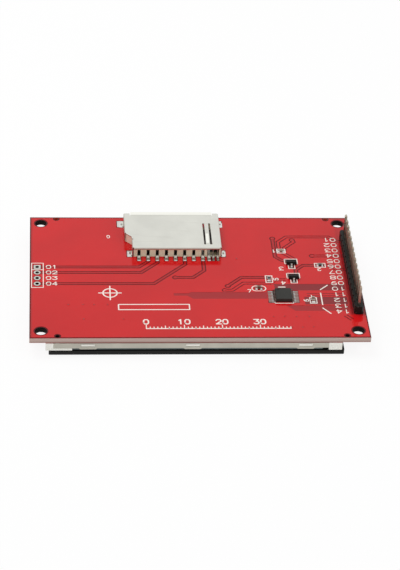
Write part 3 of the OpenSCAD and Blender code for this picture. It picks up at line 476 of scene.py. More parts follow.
@dataclass(frozen=True)
class LacquerFinish:
    """Glossy red lacquer over copper, with the slight orange peel that a screen leaves."""

    name: str = "lacquer"
    colour: Colour = (0.585, 0.008, 0.010)
    tone: float = 0.06
    tone_scale: float = 70.0
    roughness: float = 0.10
    roughness_swing: float = 0.06
    specular: float = 0.29
    peel_scale: float = 900.0
    peel_depth: float = 0.003
    # Small scuffed pits
    scuffed: Colour = (0.45, 0.02, 0.02)
    scuffed_share: float = 0.5
    pit_scale: float = 230.0
    pit_size: float = 0.035
    # Thicker and darker lacquer in a narrow rim along the left and the far edge
    thick: Colour = (0.22, 0.02, 0.02)
    thick_share: float = 0.6
    rim: tuple[float, float] = (0.9, 0.3)
    # Darker band beside the header strip, which fades towards its far end
    shaded: Colour = (0.17, 0.012, 0.015)
    shaded_share: float = 0.75
    shaded_x: tuple[float, float] = (84.7, 85.5)
    shaded_y: tuple[float, float] = (9.4, 10.2)
    fade_y: tuple[float, float] = (46.0, 24.0)
    fade_to: float = 0.35

    def material(self) -> bpy.types.Material:
        """Build the material.

        Returns:
            The lacquer's material.
        """
        made = Shader(self.name)
        low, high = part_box("circuit_board")
        x, y, _ = made.place()
        tone = made.tone(self.colour, self.tone, self.tone_scale)
        pits = made.specks(self.pit_scale, self.pit_size)
        colour = made.blend(made.math("MULTIPLY", pits, self.scuffed_share),
                            tone.outputs["Colour"], self.scuffed)
        beside = made.both(made.fade(x, low.x, self.shaded_x), made.fade(y, low.y, self.shaded_y),
                           made.fade(y, low.y, self.fade_y, self.fade_to), self.shaded_share)
        colour = made.blend(beside, colour, self.shaded)
        far_rim = (-self.rim[0], -self.rim[1])
        edge = made.math("MAXIMUM", made.fade(x, low.x, self.rim),
                         made.fade(y, high.y, far_rim))
        colour = made.blend(made.math("MULTIPLY", edge, self.thick_share), colour, self.thick)
        rough = made.sheen(tone.outputs["Mask"], self.roughness, self.roughness_swing)
        peel = made.grain(self.peel_scale, Texture.RIPPLE.detail)
        return made.surface(Base_Color=colour, Roughness=rough, Specular_IOR_Level=self.specular,
                            Normal=made.bump(peel, self.peel_depth))


@dataclass(frozen=True)
class LaminateFinish:
    """Glass-epoxy board: lacquer on both faces, pale cut edges, and painted shade on the walls of
    its holes.
    """

    name: str = "laminate"
    lacquer: Colour = (0.12, 0.005, 0.008)
    underside: Colour = (0.50, 0.012, 0.014)
    # Where copper was poured and where it was etched away, as low X, low Y, high X, high Y
    poured: Colour = (0.25, 0.028, 0.032)
    poured_at: tuple[float, ...] = (65.0, 11.0, 85.2, 23.7)
    etched: Colour = (0.37, 0.028, 0.032)
    etched_at: tuple[tuple[float, ...], ...] = ((36.0, 16.0, 65.0, 20.2),
                                                (67.0, 11.0, 85.2, 14.1))
    face_roughness: float = 0.2
    specular: float = 0.15
    # The cut edge: bare laminate with its plies and fibres, shaded in its lower part and red
    # near the faces. The spans are shares of the board's thickness.
    edge: Colour = (0.56, 0.40, 0.36)
    edge_roughness: float = 0.75
    edge_depth: float = 0.02
    plies: Colour = (0.36, 0.24, 0.2)
    plies_share: float = 0.3
    plies_scale: float = 1500.0
    fibres: Colour = (0.66, 0.55, 0.48)
    fibres_share: float = 0.35
    fibres_scale: float = 4000.0
    fibres_depth: float = 0.02
    shade: Colour = (0.27, 0.2, 0.17)
    shade_share: float = 0.45
    shade_span: tuple[float, float] = (0.45, 0.2)
    skin: Colour = (0.34, 0.015, 0.015)
    skin_span: tuple[float, float] = (0.41, 0.47)
    # Painted shade on the walls of the holes, lighter in the far locating holes
    drilled: Colour = (0.012, 0.009, 0.008)
    locating: Colour = (0.55, 0.08, 0.04)
    locating_from_ends: float = 5.0

    def _cut(self, made: Shader, fibre: object, z: object) -> bpy.types.NodeSocket:
        """Colour of the board's cut edge.

        Args:
            made: The material's tree.
            fibre: Relief of the glass fibres.
            z: Height in the row frame.

        Returns:
            The socket of the colour.
        """
        low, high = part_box("circuit_board")
        plies = made.node("TexWave", {"Scale": self.plies_scale, "Distortion": 1.5,
                                      "Detail": 2.0, "Detail Scale": 3.0}, bands_direction="Z")
        depth = made.ramp(z, low.z, high.z)
        cut = made.blend(made.math("MULTIPLY", plies.outputs["Fac"], self.plies_share),
                         self.edge, self.plies)
        cut = made.blend(made.math("MULTIPLY", fibre, self.fibres_share), cut, self.fibres)
        cut = made.blend(made.ramp(depth, *self.shade_span, 0.0, self.shade_share), cut,
                         self.shade)
        return made.blend(made.ramp(made.off(depth, 0.5), *self.skin_span), cut, self.skin)

    def _inside(self, made: Shader, x: object, y: object,
                area: tuple[float, ...]) -> bpy.types.NodeSocket:
        """Mask of an area of the board.

        Args:
            made: The material's tree.
            x: X in the row frame.
            y: Y in the row frame.
            area: Low X, low Y, high X and high Y on the board.

        Returns:
            The mask's socket.
        """
        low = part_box("circuit_board")[0]
        return made.both(made.between(x, low.x + area[0] * MM, low.x + area[2] * MM),
                         made.between(y, low.y + area[1] * MM, low.y + area[3] * MM))

    def material(self) -> bpy.types.Material:
        """Build the material.

        Returns:
            The board's material.
        """
        made = Shader(self.name)
        low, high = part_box("circuit_board")
        x, y, z = made.place()
        off_x, off_y = made.math("ABSOLUTE", x), made.math("ABSOLUTE", y)
        half_x, half_y = (high.x - low.x) / 2, (high.y - low.y) / 2
        rim = made.math("MAXIMUM",
                        made.math("GREATER_THAN", off_x, half_x - self.edge_depth * MM),
                        made.math("GREATER_THAN", off_y, half_y - self.edge_depth * MM))
        locating = made.both(made.math("GREATER_THAN", y, 0.0),
                             made.math("LESS_THAN", off_x, half_x - self.locating_from_ends * MM))
        fibre = made.grain(self.fibres_scale, Texture.GRAIN.detail, (0.12, 0.12, 1.0))
        # Upright faces: the cut edge at the rim, and painted shade on the hole walls
        side = made.blend(rim, made.blend(locating, self.drilled, self.locating),
                          self._cut(made, fibre, z))
        level = made.blend(self._inside(made, x, y, self.poured_at), self.lacquer, self.poured)
        for area in self.etched_at:
            level = made.blend(self._inside(made, x, y, area), level, self.etched)
        up = made.facing()[2]
        level = made.blend(made.math("LESS_THAN", up, -0.5), level, self.underside)
        face = made.math("GREATER_THAN", made.math("ABSOLUTE", up), 0.5)
        rough = made.math("MULTIPLY_ADD", face, self.face_roughness - self.edge_roughness,
                          self.edge_roughness)
        relief = made.math("MULTIPLY", fibre, made.math("SUBTRACT", 1.0, face))
        return made.surface(Base_Color=made.blend(face, side, level), Roughness=rough,
                            Specular_IOR_Level=self.specular,
                            Normal=made.bump(relief, self.fibres_depth))


@dataclass(frozen=True)
class LandFinish:
    """Tinned lands: bright under the socket, duller where the small parts are soldered."""

    name: str = "tinned_lands"
    bright: Colour = (0.66, 0.66, 0.61)
    dull: Colour = (0.34, 0.29, 0.26)
    # X of the row frame between which the bright lands give way to the dull ones
    dull_from: tuple[float, float] = (14.0, 15.0)
    tone: float = 0.15
    tone_scale: float = 900.0
    roughness: float = 0.32
    roughness_swing: float = 0.1
    wave_scale: float = 2500.0
    wave_depth: float = 0.01

    def material(self) -> bpy.types.Material:
        """Build the material.

        Returns:
            The lands' material.
        """
        made = Shader(self.name)
        share = made.fade(made.place()[0], 0.0, self.dull_from)
        waves = made.grain(self.wave_scale, Texture.RIPPLE.detail)
        tone = made.tone(made.blend(share, self.bright, self.dull), self.tone, self.tone_scale)
        return made.surface(Base_Color=tone.outputs["Colour"], Metallic=1.0,
                            Roughness=made.sheen(waves, self.roughness, self.roughness_swing),
                            Normal=made.bump(waves, self.wave_depth))


@dataclass(frozen=True)
class ShellFinish:
    """Tinned steel of the card socket: rolled along its length, with painted shade on its folded
    sides, and painted highlights where the spring tongue bends down and on the raised lip."""

    name: str = "shell_steel"
    top: Colour = (0.69, 0.69, 0.635)
    # Colour of the painted shade on the folded sides, in the crease and along the fold line, which
    # the long scuffs take too
    side: Colour = (0.48, 0.465, 0.41)
    polished: Colour = (0.93, 0.93, 0.86)
    tone: float = 0.05
    tone_scale: float = 160.0
    roughness: float = 0.32
    roughness_swing: float = 0.12
    # Rolling lines, and long scuffs across them
    line_scale: float = 2600.0
    line_depth: float = 0.005
    scuff_scale: float = 700.0
    scuff_share: float = 0.12
    # Upward share of a face's normal where the painted shade of the folded sides begins, and where
    # it counts as a side
    turn: tuple[float, float] = (0.97, 0.6)
    # Middle of the painted highlight where the spring tongue bends down, from the shell's right
    # side and its near side, and where it fades to either side of the middle
    spot: Point = (4.6, 5.0)
    spot_x: tuple[float, float] = (0.45, 0.3)
    spot_y: tuple[float, float] = (2.1, 1.8)
    # Painted shade in the crease at the root of the tongue
    crease_at: float = 2.0
    crease_share: float = 0.6
    crease_x: tuple[float, float] = (0.6, 0.5)
    crease_y: tuple[float, float] = (0.16, 0.08)
    # Faint painted shade along the fold line behind the contacts, which ends part of the way along
    fold_at: float = 3.1
    fold_share: float = 0.14
    fold_x: tuple[float, float] = (13.0, 8.0)
    fold_y: tuple[float, float] = (0.2, 0.1)
    # Painted highlight on the raised lip, by heights from its upper end, which is the shell's
    # highest place
    lip: tuple[float, float] = (-0.44, -0.38)

    def material(self) -> bpy.types.Material:
        """Build the material.

        Returns:
            The shell's material.
        """
        made = Shader(self.name)
        low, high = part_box("socket_shell")
        x, y, z = made.place()
        up = made.math("ABSOLUTE", made.facing()[2])
        tone = made.tone(self.top, self.tone, self.tone_scale)
        lines = made.grain(self.line_scale, 3.0, Axis.ALONG_Y.value)
        scuff = made.grain(self.scuff_scale, 2.0, (0.15, 1.0, 1.0))
        # Painted shade on the folded sides, by how far a face turns from upward
        colour = made.blend(made.ramp(up, *self.turn), tone.outputs["Colour"], self.side)
        colour = made.blend(made.ramp(scuff, 0.62, 0.7, 0.0, self.scuff_share), colour, self.side)
        # Painted highlight where the spring tongue bends down
        off_x = made.off(x, high.x - self.spot[0] * MM)
        off_y = made.off(y, low.y + self.spot[1] * MM)
        spot = made.both(made.fade(off_x, 0.0, self.spot_x), made.fade(off_y, 0.0, self.spot_y))
        colour = made.blend(spot, colour, self.polished)
        # Painted shade in the crease at the root of the tongue
        crease = made.both(made.fade(made.off(y, low.y + self.crease_at * MM), 0.0,
                                     self.crease_y, 0.0, self.crease_share),
                           made.fade(off_x, 0.0, self.crease_x))
        colour = made.blend(crease, colour, self.side)
        # Faint painted shade along the fold line behind the contacts
        fold = made.both(made.fade(made.off(y, low.y + self.fold_at * MM), 0.0,
                                   self.fold_y, 0.0, self.fold_share),
                         made.fade(x, low.x, self.fold_x))
        colour = made.blend(fold, colour, self.side)
        # Painted highlight along the raised lip
        colour = made.blend(made.fade(z, high.z, self.lip), colour, self.polished)
        return made.surface(Base_Color=colour, Metallic=1.0,
                            Roughness=made.sheen(lines, self.roughness, self.roughness_swing),
                            Normal=made.bump(lines, self.line_depth))


@dataclass(frozen=True)
class TouchFilmFinish:
    """Film of the touch panel: black printed border and a clear window over the dark display."""

    name: str = "touch_film"
    border: Colour = (0.005, 0.005, 0.006)
    window: Colour = (0.060, 0.066, 0.070)
    # Width of the border on the left, right, near and far side
    margins: tuple[float, float, float, float] = (5.6, 5.2, 3.2, 3.2)
    # Spacer dots, which stand in rows and columns
    dots: Colour = (0.16, 0.17, 0.17)
    dots_share: float = 0.35
    pitch: float = 1.2
    dot: tuple[float, float] = (0.08, 0.05)
    dot_depth: float = 0.004
    tone: float = 0.15
    tone_scale: float = 40.0
    specular: float = 0.3
    # Wiping smears, and the roughness between them and on them
    smear_scale: float = 120.0
    smeared: tuple[float, float] = (0.06, 0.16)

    def material(self) -> bpy.types.Material:
        """Build the material.

        Returns:
            The film's material, with the spacer dots of the window.
        """
        made = Shader(self.name)
        low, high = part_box("touch_film")
        x, y, _ = made.place()
        left, right, near, far = (m * MM for m in self.margins)
        inside = made.both(made.between(x, low.x + left, high.x - right),
                           made.between(y, low.y + near, high.y - far))
        half = self.pitch * MM / 2
        dx, dy = (made.math("SUBTRACT", made.math("PINGPONG", along, half), half / 2)
                  for along in (x, y))
        away = made.math("SQRT", made.math("ADD", made.math("MULTIPLY", dx, dx),
                                           made.math("MULTIPLY", dy, dy)))
        dot = made.both(made.fade(away, 0.0, self.dot), inside)
        tone = made.tone(self.window, self.tone, self.tone_scale)
        colour = made.blend(inside, self.border, tone.outputs["Colour"])
        colour = made.blend(made.math("MULTIPLY", dot, self.dots_share), colour, self.dots)
        smears = made.grain(self.smear_scale, 3.0, (1.0, 0.3, 1.0))
        return made.surface(Base_Color=colour, Specular_IOR_Level=self.specular,
                            Roughness=made.ramp(smears, 0.3, 0.8, *self.smeared),
                            Normal=made.bump(dot, self.dot_depth))


@dataclass(frozen=True)
class FlexFinish:
    """Amber film over copper tracks that run along the circuit."""

    name: str = "flex"
    film: Colour = (0.42, 0.19, 0.035)
    tracks: Colour = (0.62, 0.33, 0.09)
    half_pitch: float = 0.3
    track_edge: tuple[float, float] = (0.12, 0.16)
    roughness: float = 0.28
    coat: float = 0.4
    grain_scale: float = 1500.0
    depth: float = 0.01

    def material(self) -> bpy.types.Material:
        """Build the material.

        Returns:
            The flexible circuit's material.
        """
        made = Shader(self.name)
        across = made.math("PINGPONG", made.place()[1], self.half_pitch * MM)
        track = made.fade(across, 0.0, self.track_edge)
        cover = made.bump(made.grain(self.grain_scale, 2.0), self.depth)
        return made.surface(Base_Color=made.blend(track, self.film, self.tracks),
                            Roughness=self.roughness, Coat_Weight=self.coat,
                            Normal=made.bump(track, self.depth, cover))


class Finishes:
    """Every material of the module, by the record's material slot."""

    # Share of the pour's length below which a solid of the copper layer is a narrow track
    track_share = 0.9

    plain = (
        # Painted shade on the walls of the plated holes
        Finish("breakout_tin", (0.60, 0.59, 0.54), 0.25, 1.0, texture=Texture.RIPPLE,
               relief_scale=2500.0, wall=(0.10, 0.09, 0.07)),
        # Painted light on the nylon's stepped corner
        SocketFinish("socket_nylon", (0.82, 0.84, 0.62), 0.5, tone=0.06, relief_depth=0.015,
                     corner=(0.98, 0.97, 0.78)),
        # Painted shade on the contacts inside the slots
        SocketFinish("contact_gold", (0.60, 0.56, 0.50), 0.35, 0.75, texture=Texture.STREAK,
                     axis=Axis.ALONG_Y, inner=(0.06, 0.05, 0.04), depth=0.1, start=0.0,
                     stop=20.5),
        Finish("leaf_bronze", (0.52, 0.46, 0.40), 0.35, 0.8, texture=Texture.STREAK,
               axis=Axis.ALONG_Y),
        Finish("strip_black", (0.007, 0.0075, 0.0065), 0.45, tone=0.2, relief_depth=0.02,
               dust=0.06, specular=0.2),
        Finish("pin_gold", (0.44, 0.385, 0.30), 0.3, 1.0, tone=0.22, tone_scale=900.0,
               texture=Texture.STREAK, axis=Axis.ALONG_Z),
        Finish("solder", (0.7, 0.7, 0.68), 0.22, 1.0, texture=Texture.RIPPLE,
               relief_scale=1800.0, relief_depth=0.02),
        Finish("package_black", (0.024, 0.024, 0.021), 0.5, tone=0.15, relief_depth=0.02,
               relief_scale=6000.0, specular=0.22, far_colour=(0.003, 0.003, 0.002),
               far_from=-4.0),
        Finish("lead_tin", (0.18, 0.135, 0.12), 0.35, 1.0, far_colour=(0.62, 0.60, 0.56),
               far_from=-4.0),
        Finish("resistor_black", (0.02, 0.02, 0.022), 0.35, far_colour=(0.27, 0.21, 0.15),
               far_from=8.0),
        Finish("capacitor_brown", (0.13, 0.065, 0.04), 0.45),
        Finish("chip_tin", (0.42, 0.37, 0.32), 0.35, 1.0),
        Finish("back_steel", (0.46, 0.44, 0.38), 0.36, 1.0, texture=Texture.STREAK,
               relief_scale=2500.0, relief_depth=0.006),
        Finish("frame_white", (0.93, 0.92, 0.85), 0.5, tone=0.04, relief_depth=0.012),
        Finish("silk_ink", (0.90, 0.80, 0.74), 0.6, tone=0.05),
        Finish("reflector_white", (0.8, 0.8, 0.8), 0.4),
        Finish("guide_clear", (0.7, 0.78, 0.8), 0.15),
        Finish("film_white", (0.8, 0.8, 0.8), 0.5),
        Finish("film_prism", (0.7, 0.72, 0.73), 0.3, texture=Texture.STREAK),
        Finish("led_yellow", (0.75, 0.65, 0.25), 0.3),
        Finish("tape_black", (0.008, 0.008, 0.008), 0.5),
        Finish("polariser_dark", (0.02, 0.022, 0.025), 0.15),
        Finish("panel_glass", (0.10, 0.13, 0.125), 0.08, relief_depth=0.002, coat=0.4),
        Finish("driver_silicon", (0.05, 0.05, 0.06), 0.2),
        Finish("foam_black", (0.015, 0.015, 0.015), 0.85, relief_depth=0.05,
               relief_scale=2500.0),
        Finish("gasket_black", (0.004, 0.004, 0.004), 0.8, specular=0.1),
        Finish("touch_glass", (0.010, 0.010, 0.009), 0.3, tone=0.05, relief_depth=0.002,
               specular=0.15),
    )

    def __init__(self) -> None:
        """Build the materials."""
        self.by_slot = {finish.name: finish.material() for finish in self.plain}
        for slot, finish in (("lacquered_copper", LacquerFinish()),
                             ("red_laminate", LaminateFinish()),
                             ("tinned_lands", LandFinish()), ("shell_steel", ShellFinish()),
                             ("touch_film", TouchFilmFinish()), ("flex_amber", FlexFinish())):
            self.by_slot[slot] = finish.material()
        self.track_lacquer = LacquerFinish("track_lacquer", (0.43, 0.007, 0.009)).material()

    def dress(self) -> None:
        """Give every CAD node the material of its slot."""
        for part in frame["record"]["subparts"]:
            node = frame["nodes"][part["node"]]
            material = self.by_slot[part["material_slot"]]
            node.data.materials.clear()
            node.data.materials.append(material)
            LOG.info("%s wears %s", part["node"], material.name)
        self.darken_tracks()

    def darken_tracks(self) -> None:
        """Give the narrow tracks, which the pour doesn't touch, their darker lacquer."""
        mesh = frame["nodes"]["copper_layer"].data
        mesh.materials.append(self.track_lacquer)
        areas = solids("copper_layer")
        lengths = [max(p.x for p in area.points) - min(p.x for p in area.points)
                   for area in areas]
        for area, length in zip(areas, lengths):
            if length < self.track_share * max(lengths):
                for face in area.faces:
                    mesh.polygons[face].material_index = 1


# ---- Meshes ---------------------------------------------------------------------------------
class Board:
    """Turns places on the board into the row frame."""

    low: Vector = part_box("circuit_board")[0]
    top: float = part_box("copper_layer")[1].z

    @classmethod
    def at(cls, x: float, y: float, z: float = 0.0) -> Vector:
        """Point of the row frame at a place on the board, in metres."""
        return Vector((cls.low.x + x * MM, cls.low.y + y * MM, cls.top + z * MM))


class Form:
    """Collects closed shapes on the board into one mesh."""

    def __init__(self) -> None:
        """Start with no shapes."""
        self.bm = bmesh.new()

    def prism(self, outline: list[Point], low: float, high: float) -> None:
        """Add an upright prism.

        Args:
            outline: Corners of the outline, anticlockwise.
            low: Height of the lower face.
            high: Height of the upper face.
        """
        self.loft([[(x, y, z) for x, y in outline] for z in (low, high)])

    def loft(self, rings: list[list[tuple[float, float, float]]]) -> None:
        """Add a closed shape through rings of points, capped at both ends.

        Args:
            rings: Rings with equal numbers of points, anticlockwise, from the lowest up.
        """
        loops = [[self.bm.verts.new(Board.at(*p)) for p in ring] for ring in rings]
        self.bm.faces.new(list(reversed(loops[0])))
        self.bm.faces.new(loops[-1])
        for a, b in zip(loops, loops[1:]):
            for i in range(len(a)):
                j = (i + 1) % len(a)
                self.bm.faces.new((a[i], a[j], b[j], b[i]))

    def piece(self, name: str, slot: str, material: bpy.types.Material,
              smooth: bool = False) -> bpy.types.Object:
        """Close the form and make it a piece of the module.

        Args:
            name: Name of the piece.
            slot: The record's slot of the piece; not used.
            material: Its material.
            smooth: Whether its faces are shaded smooth.

        Returns:
            The new object.
        """
        mesh = bpy.data.meshes.new(name)
        bmesh.ops.recalc_face_normals(self.bm, faces=self.bm.faces)
        self.bm.to_mesh(mesh)
        self.bm.free()
        mesh.materials.append(material)
        if smooth:
            mesh.polygons.foreach_set("use_smooth", [True] * len(mesh.polygons))
        made = bpy.data.objects.new(name, mesh)
        bpy.context.scene.collection.objects.link(made)
        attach(made, BODY)
        LOG.info("%s: %d faces", name, len(mesh.polygons))
        return made


def arc(centre: Point, radius: float, start: float, end: float, steps: int) -> list[Point]:
    """Points on an arc.

    Args:
        centre: Middle of the arc.
        radius: Its radius.
        start: First angle, in degrees.
        end: Last angle, in degrees.
        steps: Number of steps between them.

    Returns:
        The points, both ends included.
    """
    angles = [math.radians(start + (end - start) * k / steps) for k in range(steps + 1)]
    return [(centre[0] + radius * math.cos(a), centre[1] + radius * math.sin(a)) for a in angles]


@dataclass
class Solid:
    """Points and face numbers of one separate solid of a CAD node."""

    points: list[Vector] = field(default_factory=list)
    faces: set[int] = field(default_factory=set)


def solids(node: str) -> list[Solid]:
    """Find a CAD node's separate solids.

    Args:
        node: Name of the CAD node.

    Returns:
        The solids, with their points in metres of the row frame.
    """
    bm = bmesh.new()
    bm.from_mesh(frame["nodes"][node].data)
    number = bm.faces.layers.int.new("number")
    for i, face in enumerate(bm.faces):
        face[number] = i
    bmesh.ops.remove_doubles(bm, verts=bm.verts, dist=MERGE)
    found, seen = [], set()
    for start in bm.verts:
        if start in seen:
            continue
        stack, solid = [start], Solid()
        seen.add(start)
        while stack:
            vert = stack.pop()
            solid.points.append(vert.co.copy())
            solid.faces.update(face[number] for face in vert.link_faces)
            for edge in vert.link_edges:
                other = edge.other_vert(vert)
                if other not in seen:
                    seen.add(other)
                    stack.append(other)
        found.append(solid)
    bm.free()
    return found


def boxes(node: str) -> list[tuple[Vector, Vector]]:
    """Boxes of a CAD node's separate solids.

    Args:
        node: Name of the CAD node.

    Returns:
        Lowest and highest corner of each solid, in millimetres on the board.
    """
    found = []
    for solid in solids(node):
        points = [(p - Board.at(0, 0)) / MM for p in solid.points]
        found.append((Vector(map(min, zip(*points))), Vector(map(max, zip(*points)))))
    return found


# ---- Pieces ---------------------------------------------------------------------------------
DIGITS: dict[str, list[list[Point]]] = {
    "0": [[(0, .25), (0, .75), (.15, 1), (.45, 1), (.6, .75), (.6, .25), (.45, 0), (.15, 0),
           (0, .25)]],
    "1": [[(.1, .8), (.3, 1), (.3, 0)]],
    "2": [[(0, .8), (.15, 1), (.45, 1), (.6, .8), (.6, .6), (0, 0), (.6, 0)]],
    "3": [[(0, 1), (.6, 1), (.3, .6), (.45, .6), (.6, .42), (.6, .2), (.45, 0), (.15, 0),
           (0, .15)]],
    "4": [[(.45, 0), (.45, 1), (0, .3), (.6, .3)]],
    "5": [[(.6, 1), (.05, 1), (0, .55), (.4, .6), (.6, .4), (.6, .2), (.45, 0), (.15, 0),
           (0, .12)]],
    "6": [[(.5, 1), (.2, .9), (0, .5), (0, .2), (.15, 0), (.45, 0), (.6, .2), (.6, .35),
           (.45, .55), (.15, .55), (0, .35)]],
    "7": [[(0, 1), (.6, 1), (.2, 0)]],
    "8": [[(.15, .53), (0, .7), (0, .85), (.15, 1), (.45, 1), (.6, .85), (.6, .7), (.45, .53),
           (.15, .53), (0, .35), (0, .15), (.15, 0), (.45, 0), (.6, .15), (.6, .35), (.45, .53)]],
    "9": [[(.1, 0), (.4, .1), (.6, .5), (.6, .8), (.45, 1), (.15, 1), (0, .8), (0, .65),
           (.15, .45), (.45, .45), (.6, .65)]],
}


@dataclass(frozen=True)
class Digits:
    """Height of digits, the width of their strokes and how much wider than usual they run."""

    height: float
    stroke: float = 0.24
    wide: float = 1.0


@dataclass
class Print:
    """White print on the board: outlines of the parts, plain numbers and a scale."""

    # Strokes differ a little in height, so that no two that cross share a face
    ink: float = 0.02
    step: float = 0.001
    steps: int = 7
    # Widths of the lines
    line: float = 0.24
    fine: float = 0.26
    cradle_line: float = 0.28
    bold: float = 0.34
    ruled: float = 0.36
    heavy: float = 0.38
    first_lead_line: float = 0.4
    # Pitch of digits, and the gap after each, as shares of their height
    digit_pitch: float = 0.85
    digit_gap: float = 0.25
    drawn: int = 0
    form: Form = field(default_factory=Form)
    # Pin numbers, and the bracket beside the pins of the touch controller
    pins: int = 14
    pin_half: float = 0.32
    pin_labels_x: float = 83.1
    pin_digits: Digits = Digits(1.5, 0.26, 1.5)
    bracket: tuple[tuple[Point, Point], ...] = (((80.2, 22.9), (78.1, 20.9)),
                                                ((79.8, 10.3), (77.9, 12.7)),
                                                ((78.0, 14.2), (78.0, 19.4)))
    # Box round the breakout pads, and their numbers
    pads: int = 4
    pad_pitch: float = 2.54
    pad_box_x: tuple[float, float] = (0.5, 3.65)
    pad_box_half: float = 5.55
    pad_half: float = 0.93
    pad_labels_x: float = 5.9
    pad_digits: Digits = Digits(1.4, 0.26, 1.4)
    # Three-lead parts: right half of the outline round one, their X, and their Y and numbers
    tee: tuple[Point, ...] = ((0.85, -2.15), (0.85, 0.1), (1.73, 0.1), (1.73, 2.3))
    tee_x: float = 71.35
    tee_number: Point = (-2.95, -2.1)
    tee_digits: Digits = Digits(1.4, 0.25, 1.3)
    tees: tuple[tuple[float, str], ...] = ((32.7, "3"), (26.1, "4"))
    # Small parts: middle, half length and half width of each box
    part_boxes: tuple[tuple[float, ...], ...] = ((69.1, 38.8, 1.12, 0.92), (79.2, 32.1, 1.45, 0.92),
                                                 (64.6, 25.7, 0.9, 1.55), (75.7, 16.1, 0.88, 1.3))
    part_numbers: tuple[tuple[str, Point, float], ...] = (
        ("1", (67.0, 38.8), 180), ("2", (78.8, 30.2), 180), ("5", (66.5, 25.7), 90),
        ("6", (73.8, 16.1), 90), ("7", (58.9, 20.4), 0))
    part_digits: Digits = Digits(1.2, 0.25, 1.2)
    tag: tuple[Point, ...] = ((75.4, 17.4), (75.4, 18.4))
    oval: tuple[Point, Point] = ((62.25, 21.5), (60.75, 21.5))
    oval_radius: float = 1.12
    # Touch controller: line past its near side, and the mark at its first lead
    cradle: tuple[Point, ...] = ((65.2, 15.5), (65.4, 14.85), (70.2, 14.85), (70.4, 15.5))
    first_lead: tuple[Point, ...] = ((66.9, 22.1), (68.6, 22.1))
    # Scale in millimetres along the near edge
    scale_at: Point = (30.5, 3.9)
    scale_length: int = 38
    ticks: tuple[float, float, float] = (0.7, 1.1, 1.5)
    scale_numbers_up: float = 2.9
    scale_digits: Digits = Digits(1.9, 0.38, 1.1)
    # Blank field, alignment target and the mark at the board's far side
    blank: tuple[Point, Point] = ((23.5, 12.1), (42.3, 14.4))
    target: Point = (21.4, 19.5)
    target_radius: float = 1.9
    target_arm: float = 3.0
    far_mark: Point = (21.6, 45.6)
    far_mark_digits: Digits = Digits(1.2)

    def stroke(self, points: list[Point] | tuple[Point, ...], width: float | None = None) -> None:
        """Draw a line with round ends.

        Args:
            points: The points that it passes through.
            width: Its width, if it isn't the usual one.
        """
        half = (width or self.line) / 2
        for a, b in zip(points, points[1:]):
            turn = math.degrees(math.atan2(b[1] - a[1], b[0] - a[0]))
            outline = (arc(b, half, turn - 90, turn + 90, 5)
                       + arc(a, half, turn + 90, turn + 270, 5))
            self.form.prism(outline, 0.0, self.ink + self.step * (self.drawn % self.steps))
            self.drawn += 1

    def rectangle(self, low: Point, high: Point, width: float | None = None) -> None:
        """Draw a rectangle between two corners."""
        (x0, y0), (x1, y1) = low, high
        self.stroke([(x0, y0), (x1, y0), (x1, y1), (x0, y1), (x0, y0)], width)

    def number(self, text: str, at: Point, digits: Digits, turn: float = 0.0) -> None:
        """Write digits.

        Args:
            text: The digits.
            at: Middle of the number.
            digits: Their size.
            turn: Turn about the middle, in degrees.
        """
        unit = digits.height * digits.wide
        pitch = self.digit_pitch * unit
        start = -(len(text) * pitch - self.digit_gap * unit) / 2
        c, s = math.cos(math.radians(turn)), math.sin(math.radians(turn))
        for i, digit in enumerate(text):
            for line in DIGITS[digit]:
                flat = [(start + i * pitch + x * unit, (y - 0.5) * digits.height)
                        for x, y in line]
                self.stroke([(at[0] + x * c - y * s, at[1] + x * s + y * c) for x, y in flat],
                            digits.stroke)

    def header_labels(self) -> None:
        """Number the pins, and bracket the ones of the touch controller."""
        first, last = ((v.y - Board.low.y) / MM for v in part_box("header_pins"))
        first += self.pin_half
        last -= self.pin_half
        for i in range(self.pins):
            y = first + (last - first) * i / (self.pins - 1)
            self.number(f"{self.pins - i:02d}", (self.pin_labels_x, y), self.pin_digits, 180)
        for line in self.bracket:
            self.stroke(line, self.bold)

    def breakout_labels(self) -> None:
        """Box and number the card breakout pads."""
        low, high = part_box("breakout_lands")
        first = (low.y - Board.low.y) / MM + self.pad_half
        last = (high.y - Board.low.y) / MM - self.pad_half
        middle, (left, right) = (first + last) / 2, self.pad_box_x
        self.rectangle((left, middle - self.pad_box_half), (right, middle + self.pad_box_half))
        below_first = last - self.pad_pitch / 2
        self.stroke([(left, below_first), (right, below_first)])
        for i in range(self.pads):
            y = last - (last - first) * i / (self.pads - 1)
            self.number(f"{i + 1:02d}", (self.pad_labels_x, y), self.pad_digits)

    def part_outlines(self) -> None:
        """Draw the outline and the number of each small part."""
        left = [(-x, y) for x, y in reversed(self.tee)]
        for y, text in self.tees:
            outline = [(self.tee_x + dx, y + dy) for dx, dy in (*left, *self.tee, left[0])]
            self.stroke(outline, self.fine)
            self.number(text, (self.tee_x + self.tee_number[0], y + self.tee_number[1]),
                        self.tee_digits, 180)
        for x, y, half_x, half_y in self.part_boxes:
            self.rectangle((x - half_x, y - half_y), (x + half_x, y + half_y), self.fine)
        for text, at, turn in self.part_numbers:
            self.number(text, at, self.part_digits, turn)
        self.stroke(self.tag, self.fine)
        right_end, left_end = self.oval
        oval = (arc(right_end, self.oval_radius, -90, 90, 10)
                + arc(left_end, self.oval_radius, 90, 270, 10))
        self.stroke(oval + oval[:1], self.fine)
        self.stroke(self.cradle, self.cradle_line)
        self.stroke(self.first_lead, self.first_lead_line)

